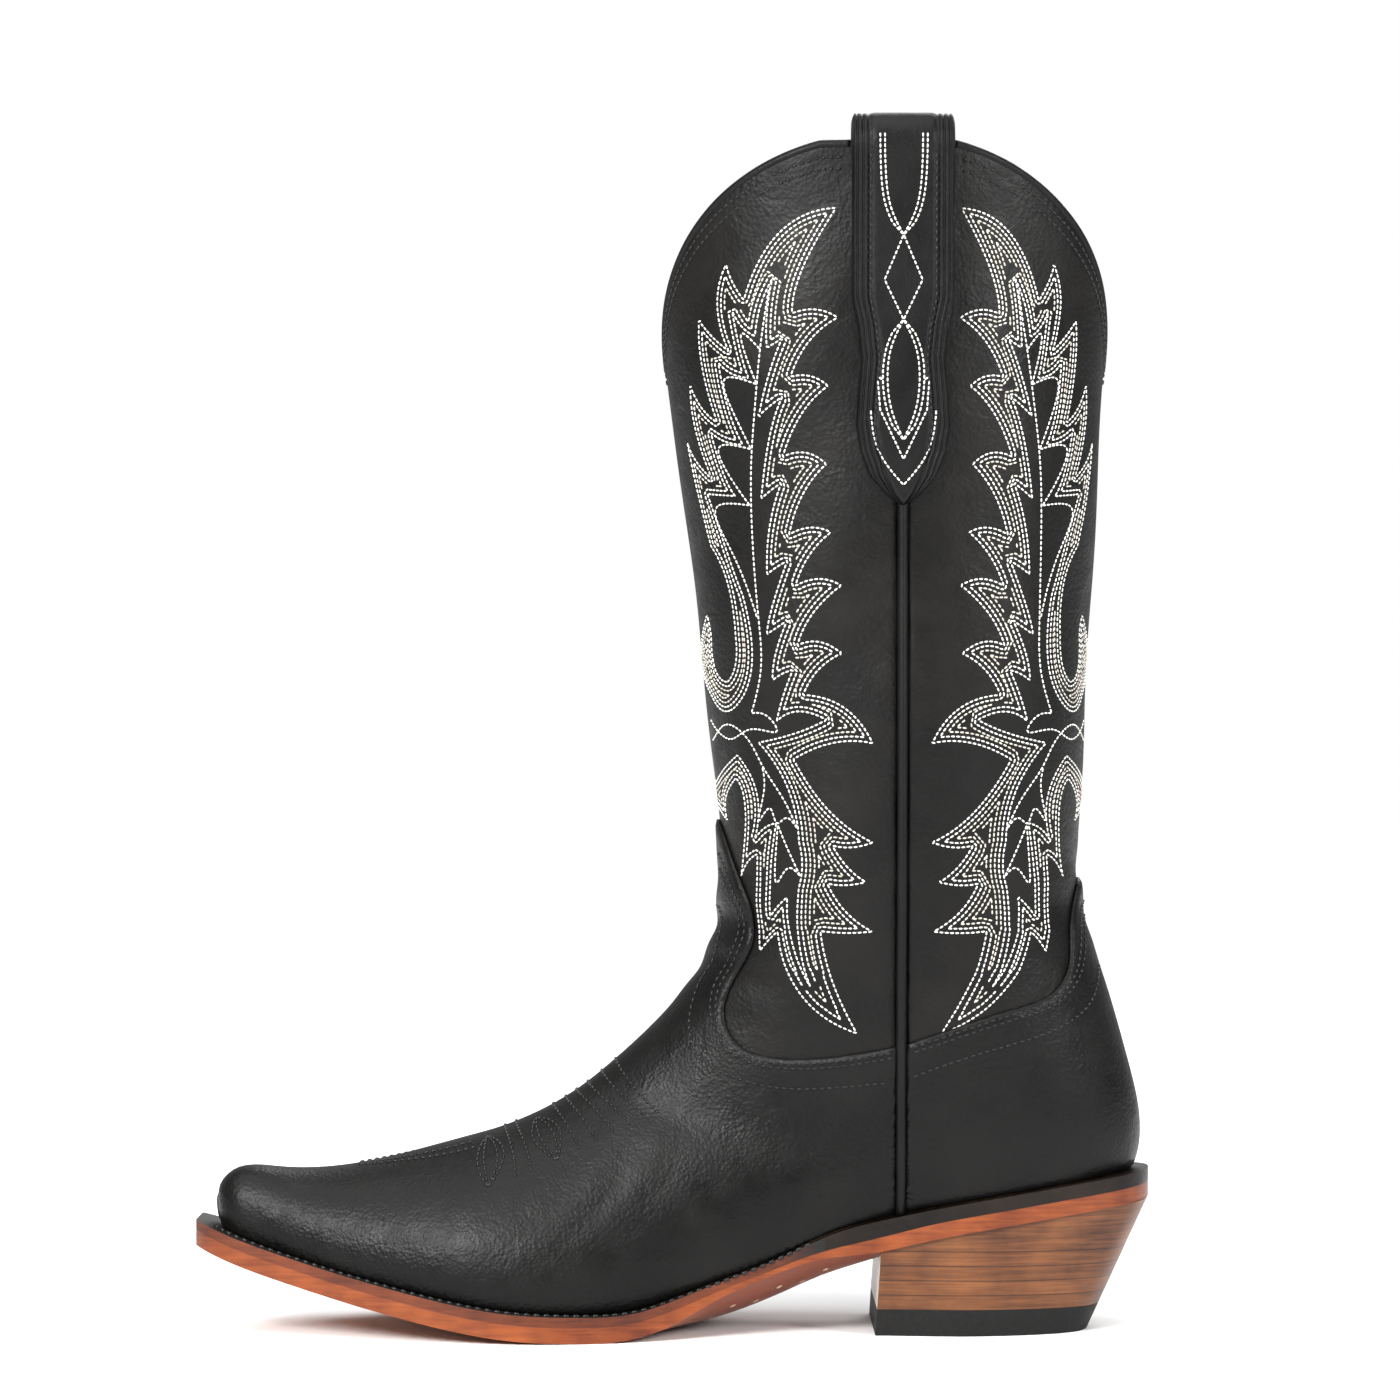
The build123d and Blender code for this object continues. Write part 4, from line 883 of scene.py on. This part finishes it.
strap = {
    "wide": 31.0, "waist": 25.5, "bulb": 28.5, "thick": 2.6, "drop": 112.0, "rise": 5.6, "inside": 75.0,
    "standoff": 1.0, "flare": 3.2, "flareFrom": 55, "rim": 5.0, "rimShare": 0.42, "ribs": 3.0, "ribHigh": 0.7,
    "pad": 1.1, "rows": 230, "rimColumns": 29, "coreColumns": 12, "backColumns": 10, "turnsOver": 3,
}  # fmt: skip
strapTip = boot["peak"] - strap["drop"]
widthHeights = np.array([0, 3, 9, 16, 24, 34, 44, 54, 62, 130]) + strapTip
bulb, waist = strap["bulb"], strap["waist"]
halfWidths = np.array([
    0.4, bulb * 0.18, bulb * 0.36, bulb * 0.455, bulb / 2, (bulb + waist) / 4 + 0.1, waist / 2,
    waist / 2 + 1.1, strap["wide"] / 2, strap["wide"] / 2,
])  # fmt: skip


def strapHalf(z):
    return np.interp(z, widthHeights, halfWidths)


def strapRim(half):
    return np.minimum(strap["rim"], strap["rimShare"] * half)


# The strap stands a little off the wall, and more and more towards the top.
def strapFlare(z):
    rise = np.maximum(0, (z - strapTip - strap["flareFrom"]) / (strap["drop"] - strap["flareFrom"]))
    return strap["standoff"] + 0.35 + strap["flare"] * rise**2


wallY = lambda z: girthAt(np.interp(-z, -girths[:, 1], girthKnots))[..., 4]


# The strap's middle line in the plane of the seam: up the outside, over the top, down the inside.
def strapPath(side):
    top, bend = boot["peak"] + strap["rise"] - strap["thick"], boot["peak"] - strap["turnsOver"]
    zOut = np.linspace(strapTip, bend, 30)
    zIn = np.linspace(bend, boot["peak"] - strap["inside"], 16)
    out = np.stack([wallY(zOut) + strapFlare(zOut), zOut], axis=1)
    inner = np.stack([wallY(zIn) - boot["leather"] * 2 - 1.9 - strap["standoff"] + 0 * zIn, zIn], axis=1)
    middle, half = (out[-1, 0] + inner[0, 0]) / 2, (out[-1, 0] - inner[0, 0]) / 2
    turn = np.linspace(0, math.pi, 13)[1:-1]
    high = top - boot["peak"] + strap["turnsOver"]
    over = np.stack([middle + half * np.cos(turn), bend + high * np.sin(turn)], axis=1)
    line = evenly(smoothLine(np.vstack([out, over, inner]), 400), 0.6)
    line = evenly(line, (np.linalg.norm(np.diff(line, axis=0), axis=1).sum()) / (strap["rows"] - 1))
    return line * np.array([side, 1])


# Height of the strap's outer face above its base for a distance from its edge: rounded ribs in the rim
# and a padded middle.
def strapHeight(fromEdge, half, outside):
    rim = strapRim(half)
    ribs = strap["ribHigh"] * np.abs(np.sin(math.pi * strap["ribs"] * fromEdge / rim)) ** 0.8
    pad = strap["pad"] * np.clip((fromEdge - rim - 0.4) / 1.2, 0, 1) ** 0.5
    rounded = strap["thick"] * np.sqrt(np.clip(fromEdge / 1.0, 0.02, 1))
    return rounded + np.where(fromEdge < rim, ribs, pad) * outside


# A ribbed cross-section carried along the strap's path: the face from edge to edge, then the flat back.
def strapPiece(name, side):
    path = strapPath(side)
    outward = -leftOf(heading(path)) * side
    half = strapHalf(path[:, 1])[:, None]
    isOut = (np.arange(len(path)) < np.argmax(path[:, 1])).astype(float)
    isOut = np.convolve(np.pad(isOut, 6, mode="edge"), np.ones(13) / 13, "valid")[:, None]
    rim = strapRim(half)
    band = rim * np.linspace(0, 1, strap["rimColumns"])[None]
    core = rim + (half - rim) * np.linspace(0, 1, strap["coreColumns"] + 1)[None, 1:]
    fromEdge = np.concatenate([band, core], axis=1)
    count = fromEdge.shape[1]
    fromEdge = np.concatenate([fromEdge, fromEdge[:, -2::-1]], axis=1)
    face = np.concatenate([-np.ones(count), np.ones(count - 1)]) * (half - fromEdge)
    flat = np.linspace(1, -1, strap["backColumns"])[None] * half * 0.985
    x = np.concatenate([face, flat], axis=1)
    high = np.concatenate([strapHeight(fromEdge, half, isOut), np.zeros_like(flat)], axis=1)
    y = path[:, :1] + outward[:, :1] * high
    z = path[:, 1:] + outward[:, 1:] * high
    grid = np.stack([x + boot["seamX"], y, z], axis=-1)
    return tubePiece(name, grid, [1, 2, 3, 0] if side > 0 else [0, 3, 2, 1]), path, outward


# Rows of the diamond pattern, from the strap's middle line (x 0) outwards: points and whether they are
# joined by a smooth curve or by straight stretches.
strapDiamonds = [
    ([(5.7, 363), (5.4, 352), (3.6, 341), (0, 333.5)], True),
    ([(0, 333.5), (5.7, 320), (0, 308)], False),
    ([(0, 308), (3.6, 300), (4.8, 290), (3.6, 281), (0, 272)], True),
    ([(6.2, 290), (7.8, 291), (7.0, 281), (0, 266.2)], False),
    ([(9.8, 281), (8.6, 272), (5.0, 264.5), (0, 258.5)], True),
]
for sideName, side in (("medial", -1), ("lateral", 1)):
    piece, path, outward = strapPiece(f"{sideName}_strap_leather", side)
    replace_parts(piece, f"{sideName}_pull_strap", f"{sideName}_strap_inlay")
    outer = np.argmax(path[:, 1])
    legY, legZ, legOut = path[:outer, 0], path[:outer, 1], outward[:outer]
    lines, edgeLines = [], []

    def onStrap(dx, z):
        halfHere = strapHalf(z)
        high = strapHeight(halfHere - np.abs(dx), halfHere, 1.0)
        ny, nz = (np.interp(z, legZ, legOut[:, k]) for k in (0, 1))
        y = np.interp(z, legZ, legY) + ny * high
        line = np.stack([dx + boot["seamX"], y, z + nz * high], axis=1)
        return line, np.stack([np.zeros_like(z), ny, nz], axis=1)

    for index, (shape, isSmooth) in enumerate(strapDiamonds):
        shape = np.asarray(shape, float)
        curve = evenly(smoothLine(shape, 80) if isSmooth else shape, 0.4)
        for mirror in (-1, 1):
            for extra in (0.0, 1.4) if index in (0, 2) else (0.0,):
                widen = np.clip(curve[:, 0] / 2, 0, 1) * extra
                lines.append(onStrap(mirror * (curve[:, 0] + widen), curve[:, 1]))
    z = np.linspace(strapTip + 12, boot["peak"] - 6, 160)
    for mirror in (-1, 1):
        edgeLines.append(onStrap(mirror * (strapHalf(z) - strapRim(strapHalf(z)) - 0.6), z))
    stitchPiece(f"{sideName}_strap_white_stitching", lines, whiteThread)
    stitchPiece(f"{sideName}_strap_edge_stitching", edgeLines, blackThread, seamThread)
print("straps ready")

# Welt stitching follows the lower rim of the upper, a little outside it, as far back as the heel.
weltThread = {"pitch": 3.0, "long": 2.3, "wide": 1.0, "high": 0.7}
us = np.linspace(girthKnots[12], girthKnots[-2], 240)
angles = np.linspace(0.4, math.pi - 0.02, 240)
weltLines = []
for side in (-1, 1):
    u, phi = np.meshgrid(us, angles * side, indexing="ij")
    rim = skin(u, phi, boot["overlay"])[0]
    above = aboveSeat(rim)
    last = above.shape[1] - 1 - np.argmax((above > 0)[:, ::-1], axis=1)
    picked = rim[np.arange(len(us)), last]
    picked = picked[(picked[:, 0] < 34) & (last < above.shape[1] - 2)]
    picked = picked[np.argsort(-picked[:, 0])]
    plan = evenly(picked[:, :2], 1.5)
    for _ in range(12):
        plan[1:-1] = (plan[:-2] + 2 * plan[1:-1] + plan[2:]) / 4
    away = leftOf(heading(plan))
    away *= np.sign((away[:, 1] * side).sum())
    spot = plan + away * np.interp(plan[:, 0], [-150, -120, 10, 34], [3.4, 2.4, 2.2, 1.0])[:, None]
    line = np.column_stack([spot, seatHeight(spot[:, 0]) + 0.1])
    weltLines.append((line, np.tile([0.0, 0.0, 1.0], (len(line), 1))))
stitchPiece("welt_stitching", weltLines, blackThread, weltThread)
print("welt stitching ready")

floorMesh = bpy.data.meshes.new("floor")
floorMesh.from_pydata([(-6, -6, 0), (6, -6, 0), (6, 6, 0), (-6, 6, 0)], [], [(0, 1, 2, 3)])
floor = bpy.data.objects.new("floor", floorMesh)
bpy.context.scene.collection.objects.link(floor)
floorPaint, _, shader = newMaterial("floorPaint")
shader.inputs["Base Color"].default_value = (0.96, 0.96, 0.96, 1)
shader.inputs["Roughness"].default_value = 0.9
floorMesh.materials.append(floorPaint)

world = bpy.context.scene.world or bpy.data.worlds.new("studio")
bpy.context.scene.world = world
world.use_nodes = True
backdrop = world.node_tree.nodes["Background"]
backdrop.inputs[0].default_value = (1.0, 1.0, 1.0, 1)
seen = world.node_tree.nodes.new("ShaderNodeLightPath").outputs["Is Camera Ray"]
world.node_tree.links.new(spread(world.node_tree, seen, 0, 1, 0.36, 1.0), backdrop.inputs[1])
daylight = bpy.data.lights.new("daylight", "SUN")
daylight.energy, daylight.angle = 2.6, 1.2
overhead = bpy.data.objects.new("daylight", daylight)
overhead.rotation_euler = (math.radians(18), math.radians(-8), 0)
bpy.context.scene.collection.objects.link(overhead)
lamps = [
    ("key", (-0.75, -1.15, 0.85), (0.0, 0.0, 0.15), 0.5, 28),
    ("fill", (1.1, -0.9, 0.7), (0.0, 0.0, 0.2), 0.45, 14),
    ("rim", (0.3, 1.2, 1.1), (0.0, 0.0, 0.25), 0.8, 10),
]
for name, place, target, size, watts in lamps:
    lamp = bpy.data.lights.new(name, "AREA")
    lamp.size, lamp.energy = size, watts
    holder = bpy.data.objects.new(name, lamp)
    bpy.context.scene.collection.objects.link(holder)
    direction = np.subtract(target, place)
    holder.location = place
    holder.rotation_euler = (
        math.atan2(math.hypot(*direction[:2]), -direction[2]),
        0,
        math.atan2(direction[1], direction[0]) - math.pi / 2,
    )

view = bpy.data.cameras.new("view")
view.lens, view.sensor_width, view.clip_start = 124.4, 36, 0.05
camera = bpy.data.objects.new("view", view)
camera.location = (shiftX / 1000, -1.5, 0.194)
camera.rotation_euler = (math.pi / 2, 0, 0)
bpy.context.scene.collection.objects.link(camera)
bpy.context.scene.camera = camera
bpy.context.scene.view_settings.view_transform = "Standard"
print("studio ready")
